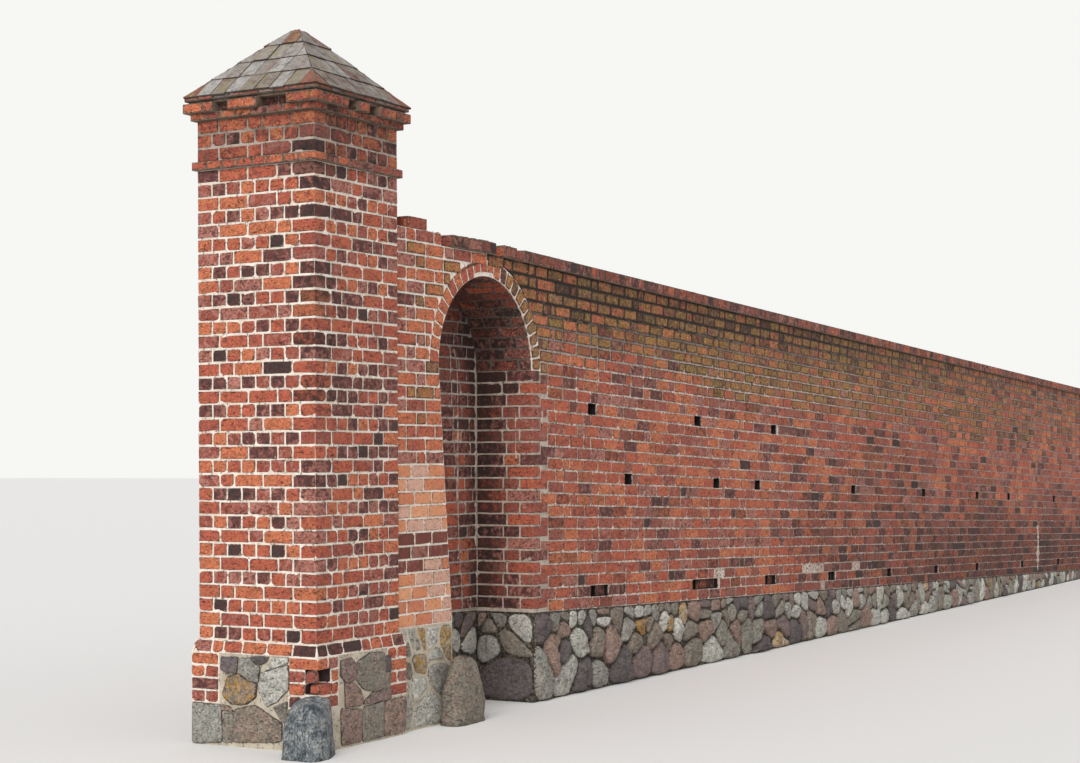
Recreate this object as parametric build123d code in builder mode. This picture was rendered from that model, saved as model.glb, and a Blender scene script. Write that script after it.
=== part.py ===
from build123d import *
import os

# A brick town wall that ends at a square pier under a tiled cap. The wall runs on from the
# pier in bays, with a round-arched blind niche beside the pier and a fieldstone base.
# Millimetres. X runs along the wall, away from the pier. Y runs into the wall, away from the
# street. Z is up from the lowest ground. The origin is the centre of the pier's foot.

# Bricks: a course or a header with the joint beside it
header_pitch = 130
wall_course = 100
pier_course = 99

# Pier, from the ground up
pier_side = 1030
foot_height = 300
plinth_height = 660
plinth_projection = 40
quoin_side = 250
panel_depth = 190
slope_course_height = 90
slope_course_top_projection = 18
shaft_courses = 34
string_height = 58
string_projection = 30
frieze_courses = 3
lower_cornice_height = 50
lower_cornice_projection = 36
upper_cornice_height = 68
upper_cornice_projection = 75
bed_height = 17
bed_projection = 45
eave_height = 28
eave_projection = 66
cap_rise = 530
cap_top_side = 60

# Bricks that are missing from the upper cornice, counted in headers from the near corner
street_gaps = (3, 5)
end_gaps = (2, 3, 6)
cornice_gap_depth = 90

# The hole where bricks have dropped out of the near corner quoin
broken_bottom = 405
broken_height = 180
broken_along_street = 165
broken_along_end = 105
broken_depth = 95

# Guard stone that stands at the near corner, and the boulder at the foot of the niche
guard_length = 410
guard_width = 320
guard_height = 415
guard_offset = (-180, -105)
boulder_length = 500
boulder_width = 280
boulder_height = 520
boulder_offset = 225
boulder_stand_off = 90

# Wall
wall_setback = 15
wall_thickness = 860
leaf_thickness = 250
brick_courses = 29
base_height = 775
far_base_height = 75
coping_height = 95
coping_projection = 30
bay1_length = 17720
bay2_length = 5250

# Blind niche
niche_offset = 590
niche_width = 1450
niche_depth = 550
near_jamb_lean = 180
crown_cover = 50
far_jamb_width = 260
patch_height = 1220

# Putlog holes, as distances from the pier's far face, and the course that each row is in. They are
# as deep as the leaf
putlog_width = 160
lower_row_course = 1
middle_row_course = 11
upper_row_course = 17
lower_row = (3140, 5250, 7060, 8900, 10900, 12740, 14570, 16870, 18950, 20850)
middle_row = (3800, 5750, 6790, 9650, 12240, 14580, 16150, 18690, 20700)
upper_row = (3100, 5310, 7230)

# Beside the first holes of the street's lower row the faces of the bricks are gone. The pocket starts
# at the hole's far edge and has this length
pocket_lengths = (180, 450, 140, 60)
pocket_depth = 45

# The wall's top beside the pier, where most of the coping is missing. A flush course stands in its
# place, with a loose brick on it. Each piece of coping left has a start and a length
top_course_length = 630
loose_brick_start = 180
loose_brick_size = (250, 118, 86)
coping_pieces = ((760, 650), (1555, 190))
coping_start = 1870

# Levels of the pier
pier_half = pier_side / 2
slope_top = plinth_height + slope_course_height
string_bottom = slope_top + shaft_courses * pier_course
frieze_bottom = string_bottom + string_height
lower_cornice_bottom = frieze_bottom + frieze_courses * pier_course
upper_cornice_bottom = lower_cornice_bottom + lower_cornice_height
bed_bottom = upper_cornice_bottom + upper_cornice_height
eave_bottom = bed_bottom + bed_height
cap_bottom = eave_bottom + eave_height

# Faces and stations of the wall
wall_start = pier_half
wall_front = -pier_half + wall_setback
wall_back = wall_front + wall_thickness
niche_back = wall_front + niche_depth
niche_left = wall_start + niche_offset
niche_right = niche_left + niche_width
niche_radius = niche_width / 2
niche_centre = (niche_left + niche_right) / 2
ring_radius = niche_radius + header_pitch
jamb_foot = niche_left + near_jamb_lean
far_jamb_end = niche_right + far_jamb_width
bay1_end = wall_start + bay1_length
wall_end = bay1_end + bay2_length
wall_height = base_height + brick_courses * wall_course
springing_height = wall_height - crown_cover - ring_radius
patch_top = base_height + patch_height
fall = (base_height - far_base_height) / (wall_end - niche_centre)

# Sizes of the solids that cut others
cut_over = 50


def level(x, height):
    """Height at x of a course that is level up to the niche and falls beyond its centre."""
    return height - fall * max(0, x - niche_centre)


def band(x0, x1, bottom, top):
    """Outline of a run of courses between two stations beyond the niche's centre."""
    return [(x0, level(x0, bottom)), (x1, level(x1, bottom)), (x1, level(x1, top)), (x0, level(x0, top))]


def base_band(x0, x1):
    """Outline of the stone base between two stations: flat below, falling above."""
    return [(x0, 0), (x1, 0), (x1, level(x1, base_height)), (x0, level(x0, base_height))]


def course_level(course):
    """Height of the bottom of a brick course of the wall, counted from 0."""
    return base_height + course * wall_course


def street_plane(y):
    """A drawing plane that faces the street at depth y, with its own y axis up."""
    return Plane.XZ.offset(-y)


def add_slab(outline, front, back, mode=Mode.ADD):
    """Add a slab with this outline on the street side to the part being built, or cut it away."""
    with BuildSketch(street_plane(front), mode=Mode.PRIVATE) as profile:
        with BuildLine():
            Polyline(*outline, close=True)
        make_face()
    extrude(profile.sketch, amount=front - back, mode=mode)


def keep(part, name):
    """Label a finished part and write it."""
    part.label = name
    export_step(part, f"parts/{name}.step")


def square_layer(name, bottom, height, projection):
    """A square course of the pier that stands out from the shaft by a projection."""
    with BuildPart() as layer:
        with BuildSketch(Plane.XY.offset(bottom)):
            Rectangle(pier_side + 2 * projection, pier_side + 2 * projection)
        extrude(amount=height)
    keep(layer.part, name)


def cut_wall_recess():
    """Take the wall's own space out of a pier part that would reach into it."""
    with BuildSketch(Plane.XY, mode=Mode.PRIVATE) as recess:
        with Locations((wall_start, (wall_front + wall_back) / 2)):
            Rectangle(plinth_projection + cut_over, wall_thickness, align=(Align.MIN, Align.CENTER))
    extrude(recess.sketch, amount=slope_top + cut_over, mode=Mode.SUBTRACT)


def wall_slab(name, outlines, front, back, pockets=()):
    """One node of the wall, made of one slab for each outline, with shallow pockets in its front."""
    with BuildPart() as slab:
        for outline in outlines:
            add_slab(outline, front, back)
        for outline in pockets:
            add_slab(outline, front, front + pocket_depth, Mode.SUBTRACT)
    keep(slab.part, name)


def holes_between(row, x0, x1):
    """Centres of the putlog holes of a row that fall whole within a bay."""
    centres = [wall_start + distance for distance in row]
    return [x for x in centres if x0 + header_pitch < x < x1 - header_pitch]


def row_blocks(course, row, x0, x1):
    """Outlines of the brickwork between the putlog holes of one course."""
    bottom, top = course_level(course), course_level(course + 1)
    edges = [x0]
    for centre in holes_between(row, x0, x1):
        edges += [centre - putlog_width / 2, centre + putlog_width / 2]
    edges.append(x1)
    return [band(a, b, bottom, top) for a, b in zip(edges[::2], edges[1::2])]


def pocket_bands(x0, x1):
    """Outlines of the lower row's pockets within a bay."""
    bottom, top = course_level(lower_row_course), course_level(lower_row_course + 1)
    edges = [centre + putlog_width / 2 for centre in holes_between(lower_row, x0, x1)]
    lengths = pocket_lengths if x0 == far_jamb_end else ()
    return [band(edge, edge + length, bottom, top) for edge, length in zip(edges, lengths)]


os.makedirs("parts", exist_ok=True)

# Pier foot: large stones under the whole plinth
plinth_half = pier_half + plinth_projection
with BuildPart() as pier_foot_stones:
    with BuildSketch(Plane.XY):
        Rectangle(2 * plinth_half, 2 * plinth_half)
    extrude(amount=foot_height)
    cut_wall_recess()
keep(pier_foot_stones.part, "pier_foot_stones")

# Pier core: the rubble heart of the plinth, which reaches the wall on one side
core_half = plinth_half - panel_depth
with BuildPart() as pier_core:
    with BuildSketch(Plane.XY.offset(foot_height)):
        Rectangle(2 * core_half, 2 * core_half)
        with Locations((core_half, 0)):
            Rectangle(pier_half - core_half, 2 * (plinth_half - quoin_side), align=(Align.MIN, Align.CENTER))
    extrude(amount=plinth_height - foot_height)
    with BuildSketch(Plane.XY.offset(foot_height)):
        quoin_centre = plinth_half - quoin_side / 2
        with Locations(*[(sx * quoin_centre, sy * quoin_centre) for sx in (-1, 1) for sy in (-1, 1)]):
            Rectangle(quoin_side, quoin_side)
    extrude(amount=plinth_height - foot_height, mode=Mode.SUBTRACT)
keep(pier_core.part, "pier_core")

# Brick quoins at the plinth's four corners, one of them broken
quoins = {
    "quoin_end_street": (-1, -1),
    "quoin_end_back": (-1, 1),
    "quoin_wall_street": (1, -1),
    "quoin_wall_back": (1, 1),
}
for quoin_name, (side_x, side_y) in quoins.items():
    with BuildPart() as quoin:
        with BuildSketch(Plane.XY.offset(foot_height)):
            with Locations((side_x * quoin_centre, side_y * quoin_centre)):
                Rectangle(quoin_side, quoin_side)
        extrude(amount=plinth_height - foot_height)
        cut_wall_recess()
        if quoin_name == "quoin_end_street":
            with BuildSketch(Plane.XY.offset(broken_bottom)):
                with BuildLine():
                    Polyline(
                        (-plinth_half, -plinth_half),
                        (-plinth_half + broken_along_street, -plinth_half),
                        (-plinth_half + broken_depth, -plinth_half + broken_depth),
                        (-plinth_half, -plinth_half + broken_along_end),
                        close=True,
                    )
                make_face()
            extrude(amount=broken_height, mode=Mode.SUBTRACT)
    keep(quoin.part, quoin_name)

# Fieldstone panels between the quoins on the three open faces
panel_length = 2 * (plinth_half - quoin_side)
panel_centre = plinth_half - panel_depth / 2
panels = {
    "panel_end": ((-panel_centre, 0), panel_depth, panel_length),
    "panel_street": ((0, -panel_centre), panel_length, panel_depth),
    "panel_back": ((0, panel_centre), panel_length, panel_depth),
}
for panel_name, (centre, size_x, size_y) in panels.items():
    with BuildPart() as panel:
        with BuildSketch(Plane.XY.offset(foot_height)):
            with Locations(centre):
                Rectangle(size_x, size_y)
        extrude(amount=plinth_height - foot_height)
    keep(panel.part, panel_name)

# Sloping course that brings the plinth in to the shaft
with BuildPart() as slope_course:
    with BuildSketch(Plane.XY.offset(plinth_height)):
        Rectangle(2 * plinth_half, 2 * plinth_half)
    with BuildSketch(Plane.XY.offset(slope_top)):
        slope_top_side = pier_side + 2 * slope_course_top_projection
        Rectangle(slope_top_side, slope_top_side)
    loft()
    cut_wall_recess()
keep(slope_course.part, "slope_course")

# Shaft, string course, frieze and lower cornice
square_layer("shaft", slope_top, string_bottom - slope_top, 0)
square_layer("string_course", string_bottom, string_height, string_projection)
square_layer("frieze", frieze_bottom, lower_cornice_bottom - frieze_bottom, 0)
square_layer("lower_cornice", lower_cornice_bottom, lower_cornice_height, lower_cornice_projection)

# Upper cornice, with the places of its missing bricks
cornice_half = pier_half + upper_cornice_projection
with BuildPart() as upper_cornice:
    with BuildSketch(Plane.XY.offset(upper_cornice_bottom)):
        Rectangle(2 * cornice_half, 2 * cornice_half)
        for gap in street_gaps:
            with Locations((-cornice_half + (gap + 0.5) * header_pitch, -cornice_half)):
                Rectangle(header_pitch, 2 * cornice_gap_depth, mode=Mode.SUBTRACT)
        for gap in end_gaps:
            with Locations((-cornice_half, -cornice_half + (gap + 0.5) * header_pitch)):
                Rectangle(2 * cornice_gap_depth, header_pitch, mode=Mode.SUBTRACT)
    extrude(amount=upper_cornice_height)
keep(upper_cornice.part, "upper_cornice")

# Mortar bed and the pyramid cap with the tiles' own edge below it
square_layer("cap_bed", bed_bottom, bed_height, bed_projection)
square_layer("eave_tiles", eave_bottom, eave_height, eave_projection)
with BuildPart() as pyramid_cap:
    with BuildSketch(Plane.XY.offset(cap_bottom)):
        Rectangle(pier_side + 2 * eave_projection, pier_side + 2 * eave_projection)
    with BuildSketch(Plane.XY.offset(cap_bottom + cap_rise)):
        Rectangle(cap_top_side, cap_top_side)
    loft()
keep(pyramid_cap.part, "pyramid_cap")

# Guard stone against the near corner
guard_at = (-pier_half + guard_offset[0], -pier_half + guard_offset[1])
with BuildPart() as guard_stone:
    for share, shrink in ((0, 1.0), (0.7, 0.92), (0.92, 0.74), (1, 0.42)):
        with BuildSketch(Plane.XY.offset(share * guard_height)):
            with Locations(guard_at):
                Ellipse(shrink * guard_length / 2, shrink * guard_width / 2)
    loft()
    with BuildSketch(Plane.XY):
        Rectangle(2 * plinth_half, 2 * plinth_half)
    extrude(amount=guard_height + cut_over, mode=Mode.SUBTRACT)
keep(guard_stone.part, "guard_stone")

# Boulder against the foot of the niche's near jamb
boulder_at = (jamb_foot + boulder_offset - boulder_length / 2, wall_front - boulder_stand_off)
with BuildPart() as jamb_boulder:
    for share, shrink in ((0, 1.0), (0.6, 0.96), (0.88, 0.74), (1, 0.4)):
        with BuildSketch(Plane.XY.offset(share * boulder_height)):
            with Locations(boulder_at):
                Ellipse(shrink * boulder_length / 2, shrink * boulder_width / 2)
    loft()
    with BuildSketch(Plane.XY):
        with Locations((boulder_at[0], wall_front)):
            Rectangle(2 * boulder_length, boulder_width, align=(Align.CENTER, Align.MIN))
    extrude(amount=boulder_height + cut_over, mode=Mode.SUBTRACT)
keep(jamb_boulder.part, "jamb_boulder")


# Wall between the pier and the niche: a stone base, a repaired patch and the old brickwork over it
def near_jamb(height):
    """Station of the niche's leaning near jamb at a height."""
    return niche_left + near_jamb_lean * (springing_height - height) / (springing_height - base_height)


near_base = [(wall_start, 0), (jamb_foot, 0), (jamb_foot, base_height), (wall_start, base_height)]
wall_slab("near_base", [near_base], wall_front, wall_back)
patch = [
    (wall_start, base_height),
    (jamb_foot, base_height),
    (near_jamb(patch_top), patch_top),
    (wall_start, patch_top),
]
wall_slab("repair_patch", [patch], wall_front, niche_back)
stub = [
    (wall_start, patch_top),
    (near_jamb(patch_top), patch_top),
    (niche_left, springing_height),
    (wall_start, springing_height),
]
wall_slab("near_stub", [stub], wall_front, niche_back)

# Back of the niche
niche_back_base = [
    (jamb_foot, 0),
    (far_jamb_end, 0),
    (far_jamb_end, level(far_jamb_end, base_height)),
    (niche_centre, base_height),
    (jamb_foot, base_height),
]
wall_slab("niche_back_base", [niche_back_base], niche_back, wall_back)
niche_back_wall = [
    (wall_start, base_height),
    (niche_centre, base_height),
    (far_jamb_end, level(far_jamb_end, base_height)),
    (far_jamb_end, level(far_jamb_end, wall_height)),
    (niche_centre, wall_height),
    (wall_start, wall_height),
]
wall_slab("niche_back_wall", [niche_back_wall], niche_back, wall_back)

# Far jamb, on its own stretch of stone base
wall_slab("far_jamb_base", [base_band(niche_right, far_jamb_end)], wall_front, niche_back)
far_jamb = [
    (niche_right, level(niche_right, base_height)),
    (far_jamb_end, level(far_jamb_end, base_height)),
    (far_jamb_end, springing_height),
    (niche_right, springing_height),
]
wall_slab("far_jamb", [far_jamb], wall_front, niche_back)

# Arch ring of headers, and the brickwork over it on either side of the crown
with BuildPart() as arch_ring:
    with BuildSketch(street_plane(wall_front)):
        with Locations((niche_centre, springing_height)):
            Circle(ring_radius)
            Circle(niche_radius, mode=Mode.SUBTRACT)
            Rectangle(4 * ring_radius, 2 * ring_radius, align=(Align.CENTER, Align.MAX), mode=Mode.SUBTRACT)
    extrude(amount=wall_front - niche_back)
keep(arch_ring.part, "arch_ring")
spandrels = {
    "spandrel_near": [
        (wall_start, springing_height),
        (niche_centre, springing_height),
        (niche_centre, wall_height),
        (wall_start, wall_height),
    ],
    "spandrel_far": [
        (niche_centre, springing_height),
        (far_jamb_end, springing_height),
        (far_jamb_end, level(far_jamb_end, wall_height)),
        (niche_centre, wall_height),
    ],
}
for spandrel_name, outline in spandrels.items():
    with BuildPart() as spandrel:
        add_slab(outline, wall_front, niche_back)
        with BuildSketch(street_plane(wall_front)):
            with Locations((niche_centre, springing_height)):
                Circle(ring_radius)
        extrude(amount=wall_front - niche_back, mode=Mode.SUBTRACT)
    keep(spandrel.part, spandrel_name)

# Lifts of plain brickwork between the putlog rows, and the rows themselves
rows = (
    (lower_row_course, lower_row),
    (middle_row_course, middle_row),
    (upper_row_course, upper_row),
)
row_courses = [course for course, row in rows]
lift_courses = list(zip([0] + [course + 1 for course in row_courses], row_courses + [brick_courses]))

# The bays: stone base, core, and two leaves, each with its lifts and its putlog rows
bays = {"bay1": (far_jamb_end, bay1_end), "bay2": (bay1_end, wall_end)}
leaves = {"street": wall_front, "back": wall_back - leaf_thickness}
for bay_name, (x0, x1) in bays.items():
    wall_slab(f"{bay_name}_base", [base_band(x0, x1)], wall_front, wall_back)
    core = band(x0, x1, base_height, wall_height)
    wall_slab(f"{bay_name}_core", [core], wall_front + leaf_thickness, wall_back - leaf_thickness)
    lifts = [band(x0, x1, course_level(low), course_level(high)) for low, high in lift_courses]
    blocks = [block for course, row in rows for block in row_blocks(course, row, x0, x1)]
    for leaf_name, front in leaves.items():
        pockets = pocket_bands(x0, x1) if leaf_name == "street" else ()
        wall_slab(f"{bay_name}_{leaf_name}_lifts", lifts, front, front + leaf_thickness)
        wall_slab(f"{bay_name}_{leaf_name}_putlog_rows", blocks, front, front + leaf_thickness, pockets)

# Flush top course beside the pier, in the place of its coping
coping_top = wall_height + coping_height
top_course_end = wall_start + top_course_length
top_course = [
    (wall_start, wall_height),
    (top_course_end, wall_height),
    (top_course_end, coping_top),
    (wall_start, coping_top),
]
wall_slab("near_top_course", [top_course], wall_front, wall_back)

# Coping: whole along the bays, and over the niche only a few pieces in front of a strip at the back
coping_front = wall_front - coping_projection
coping_back = wall_back + coping_projection


def coping_outline(start, end):
    """Outline of a stretch of coping between two distances from the pier."""
    x0, x1 = wall_start + start, wall_start + end
    crosses = x0 < niche_centre < x1
    foot = [(niche_centre, wall_height)] if crosses else []
    crest = [(niche_centre, coping_top)] if crosses else []
    near = [(x0, level(x0, coping_top)), (x0, level(x0, wall_height))]
    far = [(x1, level(x1, wall_height)), (x1, level(x1, coping_top))]
    return [near[1], *foot, *far, *crest, near[0]]


with BuildPart() as coping_near_pieces:
    for start, length in coping_pieces:
        add_slab(coping_outline(start, start + length), coping_front, coping_front + leaf_thickness)
    add_slab(coping_outline(top_course_length, coping_start), coping_back - leaf_thickness, coping_back)
keep(coping_near_pieces.part, "coping_near_pieces")
with BuildPart() as loose_brick:
    with BuildSketch(Plane.XY.offset(coping_top)):
        with Locations((wall_start + loose_brick_start, wall_front)):
            Rectangle(loose_brick_size[0], loose_brick_size[1], align=(Align.MIN, Align.MIN))
    extrude(amount=loose_brick_size[2])
keep(loose_brick.part, "loose_brick")
wall_slab("coping_bay1", [coping_outline(coping_start, bay1_length)], coping_front, coping_back)
wall_slab("coping_bay2", [coping_outline(bay1_length, bay1_length + bay2_length)], coping_front, coping_back)
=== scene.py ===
"""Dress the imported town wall: bricks, fieldstones, roof tiles and lime mortar over the fixed frame.

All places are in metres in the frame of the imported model. X runs along the wall away from the
pier, Y into the wall away from the street, and Z up from the lowest ground.
"""

import logging
import math
import random
from dataclasses import dataclass, field
from enum import Enum
from functools import partial
from typing import Callable, Iterable, Protocol, Sequence

import bpy
from bpy.types import Collection, Material, Mesh, Node, NodeSocket, NodeTree, Object
from mathutils import Matrix, Vector, noise


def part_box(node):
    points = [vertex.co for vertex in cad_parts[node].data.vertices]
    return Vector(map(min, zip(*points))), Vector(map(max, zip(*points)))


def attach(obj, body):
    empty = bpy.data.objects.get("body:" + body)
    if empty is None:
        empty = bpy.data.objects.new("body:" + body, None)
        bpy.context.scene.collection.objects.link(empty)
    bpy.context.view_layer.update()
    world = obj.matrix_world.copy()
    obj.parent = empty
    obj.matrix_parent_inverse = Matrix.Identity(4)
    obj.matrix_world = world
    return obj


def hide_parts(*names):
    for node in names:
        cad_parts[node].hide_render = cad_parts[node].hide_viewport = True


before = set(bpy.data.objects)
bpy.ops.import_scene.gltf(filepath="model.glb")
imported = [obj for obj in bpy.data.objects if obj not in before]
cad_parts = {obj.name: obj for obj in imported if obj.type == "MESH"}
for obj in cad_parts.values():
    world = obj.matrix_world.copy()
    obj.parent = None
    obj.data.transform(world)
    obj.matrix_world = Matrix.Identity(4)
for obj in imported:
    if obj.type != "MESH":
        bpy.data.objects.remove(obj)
LOG = logging.getLogger("town_wall")

# Bricks of an old large format, each with half a joint all round
HEADER = 0.130
THREE_QUARTER = 0.195
STRETCHER = 0.260
PIER_COURSE = 0.099
WALL_COURSE = 0.100
COURSES = 29           # of the wall, from its stone base to its coping
OVER_ARCH = 20         # from this course up, the wall starts beyond the arch
JOINT = 0.011
PROUD = 0.005          # a brick's face stands this far out of the mortar
SUNK = -0.003          # a brick's rim is hidden this far in the mortar
EDGE = 0.004           # width of the worn edge round a brick's face
WORN = 0.028           # wear and lime reach this far in from the edge
BEND = 0.010           # radius of a worn corner
SHORTEST = 0.025       # bricks shorter than this are left out
LOWEST = 0.02          # and lower ones too
STUMP = 0.045          # what a hole leaves of a brick is dropped if it is shorter than this
CLOSER = 0.055         # the last brick of a course takes up what is left over, if it is less than this
GRID_PITCH = 0.11      # pitch of the points along the middle of a brick's face
SIDE, DEEP, UP = Vector((1.0, 0.0, 0.0)), Vector((0.0, 1.0, 0.0)), Vector((0.0, 0.0, 1.0))
SQUARE = ((-1, -1), (1, -1), (1, 1), (-1, 1))

Polygon = list[tuple[float, float]]
Span = tuple[float, float]


# ---------------------------------------------------------------- colours and nodes


def linear(code: str) -> tuple[float, float, float, float]:
    """Turn an sRGB hex colour into the linear one that shaders take.

    Args:
        code: Six hex digits.

    Returns:
        Red, green, blue and alpha.
    """
    parts = [int(code[i:i + 2], 16) / 255 for i in (0, 2, 4)]
    return tuple(p / 12.92 if p <= 0.04045 else ((p + 0.055) / 1.055) ** 2.4 for p in parts) + (1.0,)


def feed(tree: NodeTree, node: Node, inputs: dict | Sequence) -> None:
    """Set a node's inputs.

    Args:
        tree: The node tree.
        node: The node.
        inputs: Values in the order of the sockets, or by the sockets' names or numbers. A value that is a
            socket is linked, and so is the first output in use of one that is a node.
    """
    for key, value in inputs.items() if isinstance(inputs, dict) else enumerate(inputs):
        if isinstance(value, Node):
            value = next(socket for socket in value.outputs if socket.enabled)
        if isinstance(value, NodeSocket):
            tree.links.new(value, node.inputs[key])
        else:
            node.inputs[key].default_value = value


def add_node(tree: NodeTree, kind: str, inputs: dict | Sequence = (),
        stops: Sequence[tuple[float, str]] = (), **settings) -> Node:
    """Add a node with its settings and links.

    Args:
        tree: The node tree.
        kind: The node's type, without "ShaderNode" if it starts so.
        inputs: What feed() takes.
        stops: Positions and hex colours of a colour ramp.
        settings: The node's own properties.

    Returns:
        The new node.
    """
    node = tree.nodes.new(kind if "Node" in kind else "ShaderNode" + kind)
    for key, value in settings.items():
        setattr(node, key, value)
    feed(tree, node, inputs)
    if stops:
        elements = node.color_ramp.elements
        while len(elements) < len(stops):
            elements.new(1.0)
        for element, (position, code) in zip(elements, stops):
            element.position, element.color = position, linear(code)
    return node


class Mark(Enum):
    """Values stored on each point of the masonry, which the finishes read."""

    TONE = "tone"          # which of the clay's or stone's colours
    RIM = "rim"            # 1 at the edge of a face, 0 inside it
    LICHEN = "lichen"      # share covered by ochre lichen
    # The soot mark carries real soot and damp, and also painted shade where bricks lie in hollows, corners,
    # recesses and on shaded faces
    SOOT = "soot"          # share blackened by soot and damp


@dataclass(frozen=True)
class Finish:
    """What all finishes of the masonry share."""

    name: str

    def begin(self) -> tuple[Material, Callable[..., Node], NodeSocket]:
        """Make the material, with what adds its nodes and the place on the object that they read."""
        material = bpy.data.materials.new(self.name)
        material.use_nodes = True
        add = partial(add_node, material.node_tree)
        return material, add, add("TexCoord").outputs["Object"]

    def end(self, material: Material, colour: Node, tints: Sequence[tuple], relief: Node, bump: Span,
            rough: float) -> Material:
        """Lay tints over a colour, each by its share, and feed the shader.

        Args:
            material: The material.
            colour: What gives the ground colour.
            tints: Share and colour of each layer.
            relief: What gives the height.
            bump: Strength and depth of the relief.
            rough: Roughness.

        Returns:
            The material.
        """
        tree = material.node_tree
        for share, tint in tints:
            tint = linear(tint) if isinstance(tint, str) else tint
            colour = add_node(tree, "Mix", {"Factor": share, "A": colour, "B": tint}, data_type="RGBA")
        normal = add_node(tree, "Bump", {"Strength": bump[0], "Distance": bump[1], "Height": relief})
        shader = tree.nodes["Principled BSDF"]
        feed(tree, shader, {"Base Color": colour, "Normal": normal, "Roughness": rough})
        return material


@dataclass(frozen=True)
class MasonryFinish(Finish):
    """Burnt clay or stone: a colour for each tone, with grain, pits, lime smears, lichen, and soot that also
    carries painted shade.
    """

    tones: tuple[tuple[float, str], ...]
    lime: str = "e4d3c2"
    lime_share: float = 0.55
    lichen: tuple[str, str] = ("5a421f", "b5914b")
    soot: str = "281b17"
    mottle_scale: float = 20.0       # patches of about 50 mm
    blotch_scale: float = 70.0       # blisters of about 14 mm
    grain_scale: float = 240.0       # sand and grit of about 4 mm, coarse enough to show
    mottle: float = 0.30
    blotch: float = 0.30
    pits: float = 0.85
    bump: float = 0.6
    drift: float = 0.30              # how far patches stray to the next colours of the ramp
    fleck_pitch: tuple[float, float, float] = (17.0, 17.0, 46.0)

    def build(self) -> Material:
        """Make the material."""
        material, add, place = self.begin()
        marks = {m: add("Attribute", attribute_name=m.value).outputs["Fac"] for m in Mark}
        slanted = add("Mapping", {"Vector": place, "Rotation": (0.5, 0.6, 0.3), "Scale": self.fleck_pitch})
        mottle, blotch, grain, fleck, crust, smear, bite = (
            add("TexNoise", dict(zip(("Vector", "Scale", "Detail", "Roughness", "Distortion"), values)))
            for values in (
                (place, self.mottle_scale, 4.0, 0.65, 0.5), (place, self.blotch_scale, 4.0, 0.65, 0.5),
                (place, self.grain_scale, 4.0, 0.65, 0.5), (slanted, 1.0, 4.0, 0.75, 1.6),
                (place, 17.0, 8.0, 0.7, 0.0), (place, 60.0, 5.0, 0.65, 0.0), (place, 44.0, 5.0, 0.7, 0.0)))
        shade = None
        for texture, depth in ((mottle, self.mottle), (blotch, self.blotch), (grain, 0.2)):
            part = add("MapRange", (texture, 0.38, 0.62, 1 - depth, 1 + 0.8 * depth))
            shade = part if shade is None else add("Math", (shade, part), operation="MULTIPLY")
        patches = add("MapRange", (mottle, 0.36, 0.64, -0.5, 0.5))
        strayed = add("Math", (patches, self.drift, marks[Mark.TONE]), operation="MULTIPLY_ADD")
        clay = add("ValToRGB", (strayed,), stops=self.tones)
        colour = add("VectorMath", {0: clay, "Scale": shade}, operation="SCALE")
        # Firing cracks and blown pits: dark slanting flecks, a few centimetres long
        pit = add("MapRange", (fleck, 0.555, 0.605, 0.0, self.pits))
        # Lichen grows in whole patches
        crusted = add("Math", (crust, 1.8, marks[Mark.LICHEN]), operation="MULTIPLY_ADD")
        crusted = add("MapRange", (crusted, 1.22, 1.50, 0.0, 0.84))
        crust_tint = add("ValToRGB", (blotch,), stops=((0.40, self.lichen[0]), (0.60, self.lichen[1])))
        # Lime smears spread from the edges, where there is no soot
        smeared = add("Math", (smear, marks[Mark.RIM]), operation="ADD")
        smeared = add("MapRange", (smeared, 1.16, 1.4, 0.0, self.lime_share))
        clean = add("Math", (1.0, marks[Mark.SOOT]), operation="SUBTRACT", use_clamp=True)
        limed = add("Math", (smeared, clean), operation="MULTIPLY")
        # Edges are bitten away, most of all under lichen, and painted dark as the shadow in the bitten edges
        gap = add("Math", (marks[Mark.RIM], 0.5, bite), operation="MULTIPLY_ADD")
        gap = add("Math", (marks[Mark.LICHEN], 0.25, gap), operation="MULTIPLY_ADD")
        gap = add("MapRange", (gap, 0.84, 0.92, 0.0, 0.85))
        # Soot, and painted shade carried by the same mark, darken in patches
        soot_and_shade_mask = add("Math", (patches, 0.6, marks[Mark.SOOT]), operation="MULTIPLY_ADD")
        soot_and_shade_mask = add("MapRange", (soot_and_shade_mask, 0.08, 0.75, 0.0, 0.92))
        relief = add("Math", (blotch, 2.0, grain), operation="MULTIPLY_ADD")
        relief = add("Math", (relief, pit), operation="SUBTRACT")
        tints = ((pit, "2c1713"), (crusted, crust_tint), (limed, self.lime), (gap, "2c1a15"),
            (soot_and_shade_mask, self.soot))
        return self.end(material, colour, tints, relief, (self.bump, 0.003), 0.9)


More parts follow.
